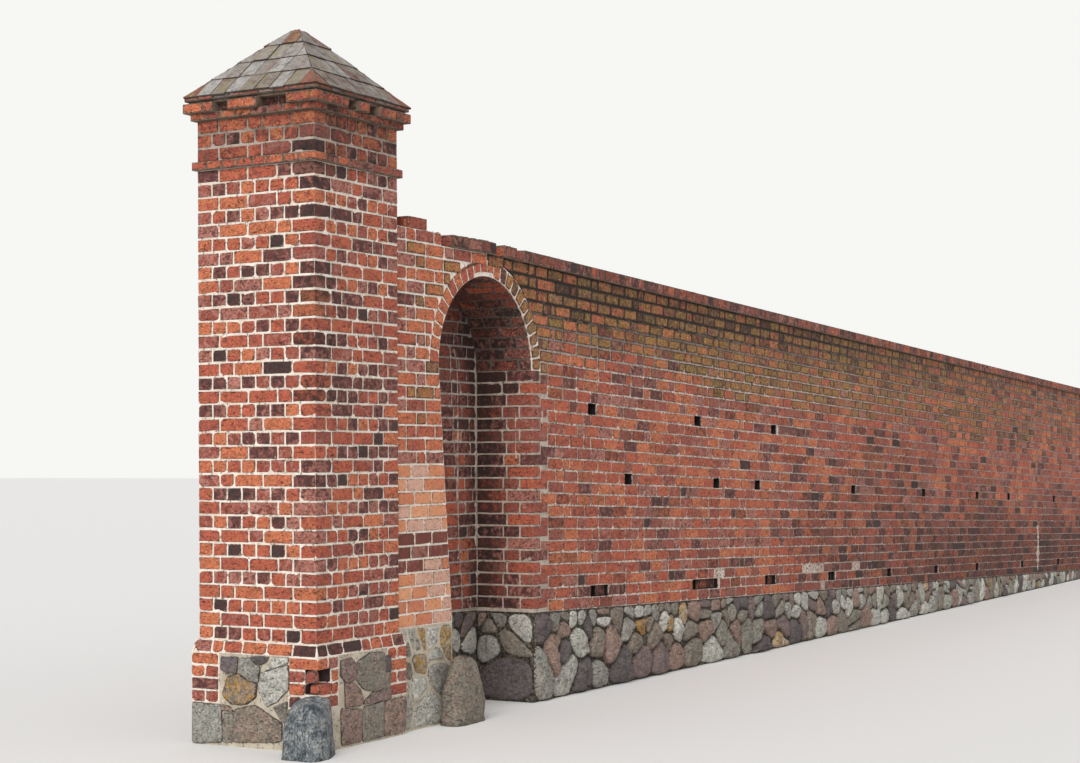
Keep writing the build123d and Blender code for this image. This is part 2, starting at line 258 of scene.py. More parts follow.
@dataclass(frozen=True)
class MortarFinish(Finish):
    """Sandy lime mortar, pale where it is clean, dark and crusted from a given level up."""

    clean: tuple[str, str]
    dark: str = "3a2f26"
    dark_from: float = 90.0          # level at the niche, from which it darkens
    dark_over: float = 0.5
    fall: float = 0.0                # how much that level drops with each metre of X
    dull: str | None = None          # what it turns to far along the wall, if it does
    dull_over: Span = (5.5, 14.0)
    dull_share: float = 0.62
    # Past this depth the mortar lies in a hole or under the arch and is painted dark as shade
    deep: float | None = None        # Y past which it lies in a hole and is dark
    deep_sign: float = 1.0
    hole_shade: str = "1e1916"
    spotted: float = 0.25
    # Eroded hollows in the mortar are painted dark as their shade
    hollow_shade_from: float = 0.575       # noise above this is an eroded, dark hollow

    def build(self) -> Material:
        """Make the material."""
        material, add, place = self.begin()
        axes = add("SeparateXYZ", (place,)).outputs
        patches, sand, pitted = (
            add("TexNoise", {"Vector": place, "Scale": scale, "Detail": detail, "Roughness": rough})
            for scale, detail, rough in ((9.0, 6.0, 0.6), (320.0, 2.0, 0.5), (38.0, 5.0, 0.7)))
        body = add("ValToRGB", (patches,), stops=((0.38, self.clean[0]), (0.62, self.clean[1])))
        grit = add("MapRange", (sand, 0.3, 0.7, 0.84, 1.08))
        colour = add("VectorMath", {0: body, "Scale": grit}, operation="SCALE")
        lifted = add("Math", (axes["X"], self.fall, axes["Z"]), operation="MULTIPLY_ADD")
        ragged = add("Math", (patches, 0.7, lifted), operation="MULTIPLY_ADD")
        high = add("MapRange", (ragged, self.dark_from + 0.35, self.dark_from + 0.35 + self.dark_over))
        spots = add("MapRange", (patches, 0.58, 0.72, 0.0, self.spotted))
        # Painted shade in eroded hollows
        eroded = add("MapRange", (pitted, self.hollow_shade_from, self.hollow_shade_from + 0.05, 0.0, 0.85))
        dark = add("Math", (high, spots), operation="MAXIMUM")
        tints = [(add("Math", (dark, eroded), operation="MAXIMUM"), self.dark)]
        if self.dull is not None:
            tints.insert(0, (add("MapRange", (axes["X"], *self.dull_over, 0.0, self.dull_share)), self.dull))
        # Painted shade on the mortar in holes
        if self.deep is not None:
            signed = add("Math", (axes["Y"], self.deep_sign), operation="MULTIPLY")
            edge = self.deep_sign * self.deep
            tints.append((add("MapRange", (signed, edge + 0.001, edge + 0.012)), self.hole_shade))
        relief = add("Math", (eroded, -3.0, sand), operation="MULTIPLY_ADD")
        return self.end(material, colour, tints, relief, (0.6, 0.004), 0.95)


class Tone(Enum):
    """Places of the old clay's colours on its ramp."""

    ORANGE = 0.08
    RED = 0.25
    BROWN = 0.42
    PINK = 0.58
    MAROON = 0.75
    BURNT = 0.93

    def near(self, dice: random.Random) -> float:
        """A place close to this colour."""
        return min(1.0, max(0.0, self.value + dice.uniform(-0.045, 0.045)))


def ramp(codes: str) -> tuple[tuple[float, str], ...]:
    """Stops of a colour ramp, one hex colour for each tone."""
    return tuple(zip((tone.value for tone in Tone), codes.split()))


# Hand-made bricks of iron-rich clay, clamp-fired: matt, from orange to near-black headers
OLD_BRICK = MasonryFinish("old_handmade_brick", ramp("d27b54 c06047 9b5345 bf8070 703d38 45322f"))
# Newer machine-pressed bricks of the repair: salmon and even, with fine grain
REPAIR_BRICK = MasonryFinish("repair_pressed_brick", ramp("e8a57c dd8f66 d07e5d ddb19c 7f4034 4f3833"),
    lime_share=0.45, mottle=0.14, blotch=0.10, pits=0.3, drift=0.08)
# Glacial fieldstones, split or rounded: dull greys, browns and pinks with coarse grain
FIELDSTONE = MasonryFinish("glacial_fieldstone", ramp("cdcabf a5a39a 8a8274 a18577 7b6d6d 565450"),
    lime="cfc5b2", lime_share=0.5, lichen=("8a6420", "cd9a38"), mottle_scale=13.0, blotch_scale=48.0,
    grain_scale=150.0, mottle=0.32, blotch=0.32, pits=0.65, bump=1.0, drift=0.12)
# Rough grey granite, speckled with pale feldspar and dark mica
GRANITE = MasonryFinish("rough_speckled_granite", ((0.08, "b4b8b5"), (0.5, "747a7d"), (0.93, "394047")),
    lime_share=0.0, soot="2c3033", mottle_scale=9.0, blotch_scale=52.0, grain_scale=130.0, mottle=0.36,
    blotch=0.55, pits=0.80, bump=1.0, drift=0.95, fleck_pitch=(36.0, 36.0, 18.0))
# Flat clay roof tiles, weathered grey-brown by lichen and soot, red where they are broken
CAP_TILE = MasonryFinish("weathered_clay_tile", ramp("bdb8b2 aba39b 968c83 94776a 99604e aa6048"),
    lime_share=0.1, lichen=("7a6c50", "96855c"), mottle_scale=8.0, blotch_scale=34.0, mottle=0.30,
    blotch=0.22, pits=0.4, bump=0.5, drift=0.25)


# ---------------------------------------------------------------- surfaces that bricks lie on


class Surface(Protocol):
    """A face on which u runs along the courses, v across them and w outwards."""

    def point(self, u: float, v: float, w: float) -> Vector:
        """The place of a point of the face."""


@dataclass(frozen=True)
class Flat:
    """A flat face."""

    origin: Vector
    along: Vector
    out: Vector
    up: Vector = field(default_factory=lambda: UP.copy())

    def point(self, u: float, v: float, w: float) -> Vector:
        """The place of a point of the face."""
        return self.origin + self.along * u + self.up * v + self.out * w


def upright(y: float) -> Flat:
    """A face towards the street at a depth, with u as X and v as Z."""
    return Flat(DEEP * y, SIDE, -DEEP)


@dataclass(frozen=True)
class Folded:
    """Upright faces that follow a plan line and turn round its worn corners.

    The line is walked with the outside on its right. The faces may lean outwards below.
    """

    plan: tuple[tuple[float, float], ...]
    lean: float = 0.0
    foot: float = 0.0
    rise: float = 1.0

    def runs(self) -> list[tuple[Vector, Vector, float, float]]:
        """Start, direction, length and distance walked before it, for each straight run."""
        found, walked = [], 0.0
        for a, b in zip(self.plan, self.plan[1:]):
            step = Vector((b[0] - a[0], b[1] - a[1], 0.0))
            found.append((Vector((*a, 0.0)), step.normalized(), step.length, walked))
            walked += step.length
        return found

    def corners(self) -> list[float]:
        """Distances walked to the inner corners of the plan line."""
        return [walked for _, _, _, walked in self.runs()[1:]]

    def point(self, u: float, v: float, w: float) -> Vector:
        """The place of a point of the folded face."""
        w += self.lean * (1 - (v - self.foot) / self.rise)
        runs = self.runs()
        index = next((i for i, (_, _, size, walked) in enumerate(runs) if u <= walked + size), len(runs) - 1)
        start, way, size, walked = runs[index]
        out = Vector((way.y, -way.x, 0.0))
        here = u - walked
        for other, past in ((index - 1, here), (index + 1, here - size)):
            if 0 <= other < len(runs) and abs(past) < BEND:
                first, second = sorted((index, other))
                corner, out_a = runs[second][0], Vector((runs[first][1].y, -runs[first][1].x, 0.0))
                out_b = Vector((runs[second][1].y, -runs[second][1].x, 0.0))
                angle = (past / BEND + 1) * math.pi / 4
                turned = out_a * math.cos(angle) + out_b * math.sin(angle)
                return corner - (out_a + out_b) * BEND + turned * (BEND + w) + UP * v
        return start + way * here + out * w + UP * v


@dataclass(frozen=True)
class ArchFace:
    """The street face of an arch: u is the arc from its near springing, v the radius."""

    centre: tuple[float, float]
    front: float
    radius: float

    def point(self, u: float, v: float, w: float) -> Vector:
        """The place of a point of the arch's face."""
        angle = math.pi - u / self.radius
        return Vector((self.centre[0] + v * math.cos(angle), self.front - w,
            self.centre[1] + v * math.sin(angle)))


@dataclass(frozen=True)
class Soffit:
    """The underside of an arch: u is the arc from its far springing, v the depth into the wall."""

    centre: tuple[float, float]
    front: float
    radius: float

    def point(self, u: float, v: float, w: float) -> Vector:
        """The place of a point of the arch's underside."""
        angle, reach = u / self.radius, self.radius - w
        return Vector((self.centre[0] + reach * math.cos(angle), self.front + v,
            self.centre[1] + reach * math.sin(angle)))


@dataclass(frozen=True)
class LeaningJamb:
    """The reveal of the niche's leaning near jamb: u runs into the wall and v up."""

    front: float
    top: tuple[float, float]
    foot: tuple[float, float]

    def station(self, height: float) -> float:
        """Station of the jamb at a height."""
        share = (self.top[1] - height) / (self.top[1] - self.foot[1])
        return self.top[0] + (self.foot[0] - self.top[0]) * min(1.0, share)

    def point(self, u: float, v: float, w: float) -> Vector:
        """The place of a point of the reveal."""
        return Vector((self.station(v) + w, self.front + u, v))


# ---------------------------------------------------------------- polygons


def centre_of(shape: Sequence[Span]) -> Span:
    """The mean of a polygon's corners."""
    return sum(p[0] for p in shape) / len(shape), sum(p[1] for p in shape) / len(shape)


def clip(shape: Polygon, at: tuple[float, float], out: tuple[float, float]) -> Polygon:
    """Cut a convex polygon by a line.

    Args:
        shape: The polygon.
        at: A point of the line.
        out: The direction that is cut away.

    Returns:
        What is left.
    """
    side = [(p[0] - at[0]) * out[0] + (p[1] - at[1]) * out[1] for p in shape]
    left: Polygon = []
    for i, (p, d) in enumerate(zip(shape, side)):
        q, e = shape[(i + 1) % len(shape)], side[(i + 1) % len(shape)]
        if d <= 0:
            left.append(p)
        if (d < 0) != (e < 0) and abs(d - e) > 1e-12:
            t = d / (d - e)
            left.append((p[0] + (q[0] - p[0]) * t, p[1] + (q[1] - p[1]) * t))
    return left


def cells(seeds: Polygon, outline: Polygon, reach: float) -> list[Polygon]:
    """Share an outline among seeds, each taking what is nearest to it.

    Args:
        seeds: The middle of each cell.
        outline: A convex outline.
        reach: Seeds further apart than this don't meet.

    Returns:
        One polygon a seed, empty where nothing is left for it.
    """
    found = []
    for i, a in enumerate(seeds):
        shape = list(outline)
        for j, b in enumerate(seeds):
            if i != j and math.dist(a, b) < reach and shape:
                shape = clip(shape, ((a[0] + b[0]) / 2, (a[1] + b[1]) / 2), (b[0] - a[0], b[1] - a[1]))
        found.append(shape)
    return found


def inset(shape: Polygon, by: float) -> Polygon:
    """Move each side of a convex polygon, walked anticlockwise, inwards."""
    left = list(shape)
    for p, q in zip(shape, shape[1:] + shape[:1]):
        size = math.dist(p, q)
        if size > 1e-6 and left:
            out = ((q[1] - p[1]) / size, -(q[0] - p[0]) / size)
            left = clip(left, (p[0] - out[0] * by, p[1] - out[1] * by), out)
    return left


def rounded(shape: Polygon, share: float, pitch: float, amount: float, seed: float) -> Polygon:
    """Cut the corners off a polygon twice and make its outline ragged.

    Args:
        shape: The polygon.
        share: How much of each side is cut off at its ends.
        pitch: Longest side left.
        amount: How far the points stray.
        seed: Changes where they stray to.

    Returns:
        The new outline.
    """
    for _ in range(2):
        cut: Polygon = []
        for p, q in zip(shape, shape[1:] + shape[:1]):
            cut += [(p[0] + (q[0] - p[0]) * t, p[1] + (q[1] - p[1]) * t) for t in (share, 1 - share)]
        shape = cut
    found: Polygon = []
    for p, q in zip(shape, shape[1:] + shape[:1]):
        size = math.dist(p, q)
        if size < 0.006:
            continue
        for k in range(max(1, math.ceil(size / pitch))):
            t = k / max(1, math.ceil(size / pitch))
            u, v = p[0] + (q[0] - p[0]) * t, p[1] + (q[1] - p[1]) * t
            found.append((u + amount * noise.noise(Vector((u * 17, v * 17, seed))),
                v + amount * noise.noise(Vector((u * 17, v * 17, seed + 9)))))
    return found


# ---------------------------------------------------------------- weather


def smooth(low: float, high: float, value: float) -> float:
    """Rise gently from 0 at low to 1 at high."""
    t = min(1.0, max(0.0, (value - low) / (high - low)))
    return t * t * (3 - 2 * t)


def drift(place: Vector, pitch: float, seed: float = 0.0) -> float:
    """Slow noise from -1 to 1, with bumps of about this pitch in metres."""
    return noise.noise(place / pitch + Vector((seed, seed, seed)))


@dataclass(frozen=True)
class Lines:
    """Stations and levels of the wall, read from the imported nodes."""

    start: float
    front: float
    back: float
    niche_back: float
    jamb_foot: float
    centre: float
    radius: float
    ring: float
    springing: float
    far_end: float
    bay1_end: float
    wall_end: float
    base: float
    far_base: float
    top: float
    coping_top: float
    patch_top: float
    coping_front: float
    coping_back: float
    coping_start: float

    @classmethod
    def read(cls) -> "Lines":
        """Read them from the boxes of the nodes."""
        base_low, base_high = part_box("near_base")
        stub_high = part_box("near_stub")[1]
        arch_low, arch_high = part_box("arch_ring")
        jamb_low, jamb_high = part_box("far_jamb")
        bay1_low, bay1_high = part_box("bay1_base")
        bay2_low, bay2_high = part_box("bay2_base")
        coping_low, coping_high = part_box("coping_bay1")
        centre = (arch_low.x + arch_high.x) / 2
        fall = (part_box("bay1_core")[1].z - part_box("bay2_core")[1].z) / (bay2_low.x - bay1_low.x)
        return cls(start=base_low.x, front=base_low.y, back=base_high.y, niche_back=stub_high.y,
            jamb_foot=base_high.x, centre=centre, radius=jamb_low.x - centre, ring=arch_high.x - centre,
            springing=stub_high.z, far_end=jamb_high.x, bay1_end=bay1_high.x, wall_end=bay2_high.x,
            base=base_high.z, far_base=base_high.z - fall * (bay2_high.x - centre),
            top=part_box("spandrel_near")[1].z, coping_top=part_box("near_top_course")[1].z,
            patch_top=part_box("repair_patch")[1].z, coping_front=coping_low.y, coping_back=coping_high.y,
            coping_start=coping_low.x)

    @property
    def fall(self) -> float:
        """Drop of the courses with each metre beyond the niche's middle."""
        return (self.base - self.far_base) / (self.wall_end - self.centre)

    def level(self, x: float, height: float) -> float:
        """Height at x of what is at this height at the niche."""
        return height - self.fall * max(0.0, x - self.centre)


LINES = Lines.read()
# The damp stain on the wall: X and depth under the top, and half of its size
STAIN = ((11.5, 1.5), (2.4, 0.55))


def wall_weather(place: Vector) -> tuple[float, float]:
    """Lichen and soot on the wall: a crusted upper quarter, and damp stains here and there.

    Args:
        place: A point of the wall's face.

    Returns:
        The shares of lichen and of soot.
    """
    x, height = place.x, LINES.top - (place.z + LINES.fall * max(0.0, place.x - LINES.centre))
    far = smooth(6.0, 20.0, x)
    old_wall = smooth(LINES.far_end - 0.35, LINES.far_end + 0.1, x)
    # Lichen: over this depth under the top, less of it far along and none on the repaired end
    edge = 0.64 + 0.36 * smooth(3.0, 6.5, x) + 0.33 * drift(place, 1.4, 3.0) + 0.16 * drift(place, 0.3, 5.0)
    lichen = (1 - smooth(edge - 0.25, edge + 0.25, height)) * (0.61 - 0.24 * far) * old_wall
    # Soot: under the coping, in patches lower down, in one stain, and on the lower half far along
    at, half_size = STAIN
    stain = math.exp(-((x - at[0]) / half_size[0]) ** 2 - ((height - at[1]) / half_size[1]) ** 2)
    soot = 0.38 * (1 - smooth(0.0, 0.6, height)) * (1 - 0.7 * far)
    soot += 0.20 * smooth(0.05, 0.45, drift(place, 1.8, 9.0)) * smooth(1.0, 1.5, height)
    soot += 0.40 * stain * smooth(-0.35, 0.25, drift(place, 0.6, 2.0))
    soot += smooth(1.6, 2.6, height) * (0.09 + 0.42 * smooth(6.0, 15.0, x))
    return lichen, soot


# ---------------------------------------------------------------- gathering masonry into meshes


@dataclass
class Wear:
    """How a brick or stone is coloured and how worn it is."""

    tone: float
    lichen: float = 0.0
    # Soot, and painted shade where the brick lies in a hollow, corner or recess
    soot: float = 0.0
    chips: float = 1.0
    proud: float = PROUD
    lime: float = 0.0                # least value of the rim's mark, which spreads the lime smears


def brick_grid(length: float, height: float, dice: random.Random, wear: Wear,
        bends: Sequence[float] = ()) -> list[list[tuple[float, float, float, float]]]:
    """The worn face of one brick as a grid of points.

    Args:
        length: Length of the face.
        height: Height of the face.
        dice: The source of chance.
        wear: How worn the brick is.
        bends: Places along it where it turns a corner.

    Returns:
        Columns of (u, v, w, rim).
    """
    near = min(WORN, 0.24 * length)
    inner = max(1, round((length - 2 * near) / GRID_PITCH))
    columns = [0.0, EDGE, *(near + (length - 2 * near) * k / inner for k in range(inner + 1)),
        length - EDGE, length]
    for bend in bends:
        columns = [c for c in columns if abs(c - bend) > 1.4 * BEND]
        columns += [bend + k * BEND / 2 for k in range(-2, 3)]
    columns.sort()
    rows = [0.0, EDGE, 0.27 * height, 0.73 * height, height - EDGE, height]
    tilt_u, tilt_v = (0.0, 0.0) if bends else (dice.uniform(-0.008, 0.008), dice.uniform(-0.02, 0.02))
    chips = [(u, v, dice.uniform(0.010, 0.024)) for u in (0.0, length) for v in (0.0, height)
        if dice.random() < 0.2 * wear.chips]
    if dice.random() < 0.4 * wear.chips:
        chips.append((dice.uniform(0.0, length), dice.choice((0.0, height)), dice.uniform(0.009, 0.022)))
    grid = []
    for i, u in enumerate(columns):
        column = []
        for j, v in enumerate(rows):
            edge = min(i, j, len(columns) - 1 - i, len(rows) - 1 - j)
            bent = any(abs(u - bend) <= BEND for bend in bends)
            w, pu, pv = SUNK, u, v
            if edge:
                w = wear.proud + dice.uniform(-0.0011, 0.0008)
                w += tilt_u * (u - length / 2) + tilt_v * (v - height / 2)
                if dice.random() < 0.12 * wear.chips and not bent:
                    w -= dice.uniform(0.001, 0.0035)
            else:
                pu += 0.0 if bent else dice.uniform(-0.0032, 0.0032)
                pv += dice.uniform(-0.0036, 0.0036)
            for cu, cv, size in chips:
                close = 1 - math.hypot(u - cu, v - cv) / size
                if close > 0:
                    w -= close * (wear.proud + 0.004)
                    pu += (0.0 if bent else close * size * 0.3) * (1 if cu < length / 2 else -1)
                    pv += close * size * 0.3 * (1 if cv < height / 2 else -1)
            column.append((pu, pv, w, max(wear.lime, (1.0, 0.72, 0.0)[min(edge, 2)])))
        grid.append(column)
    return grid


class Form(Enum):
    """Ways that a stone swells out of its bed: share of the outline, and share of the bulge."""

    SPLIT = ((0.985, 0.5), (0.93, 0.93), (0.62, 1.0))
    ROUND = ((0.975, 0.34), (0.89, 0.70), (0.68, 0.93), (0.36, 1.0))


class Masonry:
    """Gathers the faces of many bricks or stones, and makes one mesh of them."""

    def __init__(self, dice: random.Random) -> None:
        """Start with nothing laid, and with a source of chance."""
        self.dice = dice
        self.points: list[Vector] = []
        self.faces: list[tuple[int, ...]] = []
        self.marks: dict[Mark, list[float]] = {m: [] for m in Mark}
        self.shade: Callable[[Vector], float] | None = None

    def put(self, place: Vector, wear: Wear, rim: float = 0.0) -> int:
        """Add a point with its marks.

        Args:
            place: Where it is.
            wear: Its colour.
            rim: 1 at the edge of a face, 0 inside it.

        Returns:
            Its number.
        """
        self.points.append(place)
        soot = wear.soot + (self.shade(place) if self.shade else 0.0)
        for mark, value in zip(Mark, (wear.tone, rim, wear.lichen, soot)):
            self.marks[mark].append(value)
        return len(self.points) - 1

    def join(self, rows: Sequence[Sequence[int]], closed: bool = False, flip: bool = False) -> None:
        """Add the faces between rows of points.

        Args:
            rows: The numbers of the points.
            closed: Whether each row is a ring.
            flip: Whether the faces look the other way.
        """
        for a, b in zip(rows, rows[1:]):
            for k in range(len(a) if closed else len(a) - 1):
                m = (k + 1) % len(a)
                self.faces.append((a[k], b[k], b[m], a[m]) if flip else (a[k], a[m], b[m], b[k]))

    def fan(self, ring: Sequence[int], tip: int) -> None:
        """Add the faces from a ring of points to one point."""
        self.faces += [(a, b, tip) for a, b in zip(ring, [*ring[1:], ring[0]])]

    def brick(self, surface: Surface, span: Span, rise: Span, wear: Wear, bends: Iterable[float] = (),
            slope: float = 0.0) -> None:
        """Lay the face of one brick.

        Args:
            surface: The face that it lies on.
            span: Where it starts and stops along the course.
            rise: Where it starts and stops across the course.
            wear: How it is coloured and worn.
            bends: Corners of the surface that it may turn.
            slope: Drop of the course with each metre along it.
        """
        length, height = span[1] - span[0], rise[1] - rise[0]
        if length < SHORTEST or height < LOWEST:
            return
        turns = [b - span[0] for b in bends if span[0] + BEND < b < span[1] - BEND]
        grid = brick_grid(length, height, self.dice, wear, turns)
        self.join([[self.put(surface.point(span[0] + u, rise[0] + v - slope * (span[0] + u), w), wear, rim)
            for u, v, w, rim in column] for column in grid], flip=True)

    def stone(self, surface: Surface, shape: Polygon, bulge: float, wear: Wear,
            form: Form = Form.ROUND) -> None:
        """Lay one fieldstone: an outline that swells out of the mortar.

        Args:
            surface: The face that it lies in.
            shape: Its outline on that face.
            bulge: How far it stands out.
            wear: How it is coloured and worn.
            form: How it swells.
        """
        if len(shape) < 3:
            return
        if sum(p[0] * q[1] - q[0] * p[1] for p, q in zip(shape, shape[1:] + shape[:1])) < 0:
            shape = shape[::-1]
        middle = centre_of(shape)
        size = max(math.dist(p, middle) for p in shape)
        if size < 0.018:
            return
        dice = self.dice
        lean, seed = (dice.uniform(-0.5, 0.5), dice.uniform(-0.5, 0.5)), dice.uniform(0, 99)
        rough = 0.55 if form is Form.ROUND else 0.35
        rings = []
        for share, out in ((1.0, -1.0), *form.value):
            rim = 1.0 if share > 0.98 else 0.5 if share > 0.9 else 0.0
            ring = []
            for p in shape:
                du, dv = (p[0] - middle[0]) * share, (p[1] - middle[1]) * share
                spot = Vector((du * 12 + seed, dv * 12, seed))
                swell = 1 + rough * (noise.noise(spot) + 0.5 * noise.noise(spot * 2.6))
                swell += (lean[0] * du + lean[1] * dv) / size
                w = 2 * SUNK if out < 0 else bulge * out * swell
                ring.append(self.put(surface.point(middle[0] + du, middle[1] + dv, w), wear, rim))
            rings.append(ring)
        self.join(rings, closed=True)
        self.fan(rings[-1], self.put(surface.point(*middle, bulge * 1.02), wear))

    def ridge(self, surface: Surface, path: Sequence[Span], width: float, height: float) -> None:
        """Smear a ragged run of mortar along a line of a face.

        Args:
            surface: The face.
            path: The line's points.
            width: Mean width of the run.
            height: How far it stands out.
        """
        rows, mortar = [], Wear(0.0)
        for (u0, v0), (u1, v1) in zip(path, path[1:]):
            size = math.hypot(u1 - u0, v1 - v0)
            steps = max(2, round(size / 0.018))
            across = (-(v1 - v0) / size, (u1 - u0) / size)
            for k in range(steps + (1 if (u1, v1) == path[-1] else 0)):
                t = k / steps
                wide = 0.9 + 1.6 * noise.noise(Vector((k * 0.33, u0 * 9, v0 * 9)))
                wide = width / 2 * max(0.15, wide + self.dice.uniform(-0.15, 0.15))
                off = 0.25 * width * noise.noise(Vector((k * 0.21, v0 * 9, u0 * 9)))
                row = []
                for side in (1.0, 0.55, 0.0, -0.55, -1.0):
                    w = SUNK if abs(side) == 1 else height * self.dice.uniform(0.75, 1.1)
                    w *= 1.0 if abs(side) == 1 else 1 - 0.5 * abs(side)
                    row.append(self.put(surface.point(u0 + (u1 - u0) * t + across[0] * (off + side * wide),
                        v0 + (v1 - v0) * t + across[1] * (off + side * wide), w), mortar))
                rows.append(row)
        self.join(rows)

    def block(self, low: Vector, high: Vector, wear: Wear, faces: Sequence[str] = ()) -> None:
        """Lay one brick that stands free.

        Args:
            low: Lowest corner of its box.
            high: Highest corner.
            wear: How it is coloured and worn.
            faces: Its open faces, all but the lower one if none are given.
        """
        for name, (surface, length, height) in box_faces(low, high).items():
            if name in (faces or (name,)):
                self.brick(surface, (0.0, length), (0.0, height), wear)

    def mesh(self, name: str, marks: Iterable[Mark] = Mark) -> Mesh:
        """Make the mesh, with marks as attributes of its points."""
        mesh = bpy.data.meshes.new(name)
        mesh.from_pydata(self.points, [], self.faces)
        store(mesh, {mark.value: self.marks[mark] for mark in marks})
        mesh.update()
        return mesh

    def piece(self, name: str, slot: str, material: Material, shaded: bool = False) -> Object:
        """Make the finished piece.

        Args:
            name: Its name.
            slot: Not used.
            material: Its material.
            shaded: Whether its faces are shaded smoothly.

        Returns:
            The piece, which rides on the part.
        """
        return place_piece(name, self.mesh(name), material, shaded)


def store(mesh: Mesh, values: dict[str, Sequence], kind: str = "FLOAT") -> None:
    """Store values on the points of a mesh.

    Args:
        mesh: The mesh.
        values: A flat row of values for each attribute.
        kind: The attributes' type.
    """
    for name, row in values.items():
        key = "vector" if kind == "FLOAT_VECTOR" else "value"
        mesh.attributes.new(name, kind, "POINT").data.foreach_set(key, row)


def begin(seed: int) -> tuple[Masonry, random.Random]:
    """Start a piece of masonry, with its source of chance."""
    dice = random.Random(seed)
    return Masonry(dice), dice


def place_piece(name: str, mesh: Mesh, material: Material, shaded: bool = False) -> Object:
    """Put a mesh in the scene as a piece of the part.

    Args:
        name: Its name.
        mesh: The mesh.
        material: Its material.
        shaded: Whether its faces are shaded smoothly.

    Returns:
        The piece.
    """
    piece = bpy.data.objects.new(name, mesh)
    bpy.context.scene.collection.objects.link(piece)
    mesh.materials.clear()
    mesh.materials.append(material)
    mesh.polygons.foreach_set("use_smooth", [shaded] * len(mesh.polygons))
    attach(piece, "root")
    LOG.info("piece %s: %d faces", name, len(mesh.polygons))
    return piece


def coat(node: str, material: Material) -> None:
    """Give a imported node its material.

    Args:
        node: The node's name.
        material: The material.
    """
    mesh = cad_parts[node].data
    mesh.materials.clear()
    mesh.materials.append(material)
    LOG.info("node %s: %s", node, material.name)


def rise_of(first: float, number: int, step: float = WALL_COURSE, joint: float = JOINT) -> Span:
    """Foot and head of the bricks of one course, counted from the course that starts at first."""
    return first + number * step + joint / 2, first + (number + 1) * step - joint / 2


def lay(start: float, end: float, sizes: Sequence[float], dice: random.Random,
        joint: float = JOINT) -> list[Span]:
    """Spans of the bricks of one course.

    Args:
        start: Where the course starts.
        end: Where it stops.
        sizes: The sizes that follow each other, joint included.
        dice: The source of chance.
        joint: Width of the upright joints.

    Returns:
        The span of each brick, without its joints.
    """
    spans, at, count = [], start, 0
    while at < end - 0.03:
        stop = at + sizes[count % len(sizes)] * dice.uniform(0.965, 1.035)
        if end - stop < CLOSER:
            stop = end
        spans.append((at + joint / 2, stop - joint / 2))
        at, count = stop, count + 1
    return spans


def cut_spans(spans: Iterable[Span], holes: Iterable[Span]) -> list[Span]:
    """Take holes out of the bricks of a course.

    Args:
        spans: The bricks.
        holes: The holes.

    Returns:
        What is left of the bricks, without what is too short.
    """
    left = list(spans)
    for low, high in holes:
        kept = []
        for a, b in left:
            if b <= low or a >= high:
                kept.append((a, b))
            else:
                kept += [(c, d) for c, d in ((a, low), (high, b)) if d - c > STUMP]
        left = kept
    return left


def pick(dice: random.Random, shares: dict[Tone, float]) -> float:
    """A tone drawn by the shares of the colours."""
    return dice.choices(list(shares), list(shares.values()))[0].near(dice)


def mix(*parts: float) -> dict[Tone, float]:
    """Shares of the clay's colours, from orange to burnt."""
    return dict(zip(Tone, parts))


PIER_CLAY = mix(0.25, 0.32, 0.21, 0.09, 0.11, 0.02)
PIER_HEADERS = mix(0.19, 0.27, 0.20, 0.08, 0.21, 0.05)
# Darker clay for the pier's street face: painted shade
SHADED_FACE_CLAY = mix(0.12, 0.30, 0.22, 0.05, 0.27, 0.04)
WALL_CLAY = mix(0.27, 0.38, 0.17, 0.09, 0.08, 0.01)
# Brighter, pinker clay of the stub: partly its own colour, partly painted sunlight
STUB_CLAY = mix(0.35, 0.24, 0.06, 0.30, 0.05)
LOW_CLAY = mix(0.05, 0.28, 0.34, 0.07, 0.24, 0.02)
RING_CLAY = mix(0.66, 0.34)
NICHE_CLAY = mix(0.02, 0.17, 0.40, 0.02, 0.34, 0.05)
JAMB_CLAY = mix(0.0, 0.26, 0.40, 0.05, 0.28, 0.01)
CORNICE_CLAY = mix(0.36, 0.42, 0.13, 0.0, 0.09)
STRING_CLAY = mix(0.55, 0.40, 0.05)
DARK_CLAY = mix(0.0, 0.0, 0.3, 0.0, 0.7)


def box_faces(low: Vector, high: Vector) -> dict[str, tuple[Flat, float, float]]:
    """The open faces of a box.

    Args:
        low: Its lowest corner.
        high: Its highest corner.

    Returns:
        By name, the surface of each, its length and its height.
    """
    size = high - low
    return {
        "front": (Flat(low.copy(), SIDE, -DEEP), size.x, size.z),
        "start": (Flat(Vector((low.x, high.y, low.z)), -DEEP, -SIDE), size.y, size.z),
        "end": (Flat(Vector((high.x, low.y, low.z)), DEEP, SIDE), size.y, size.z),
        "back": (Flat(Vector((high.x, high.y, low.z)), -SIDE, DEEP), size.x, size.z),
        "top": (Flat(Vector((low.x, low.y, high.z)), SIDE, UP, DEEP), size.x, size.y),
    }


def square_plan(half: float) -> tuple[Span, ...]:
    """Plan line round a square, from its back end corner past the near corner."""
    return (-half, half), (-half, -half), (half, -half), (half, half), (-half, half)


# ---------------------------------------------------------------- the pier

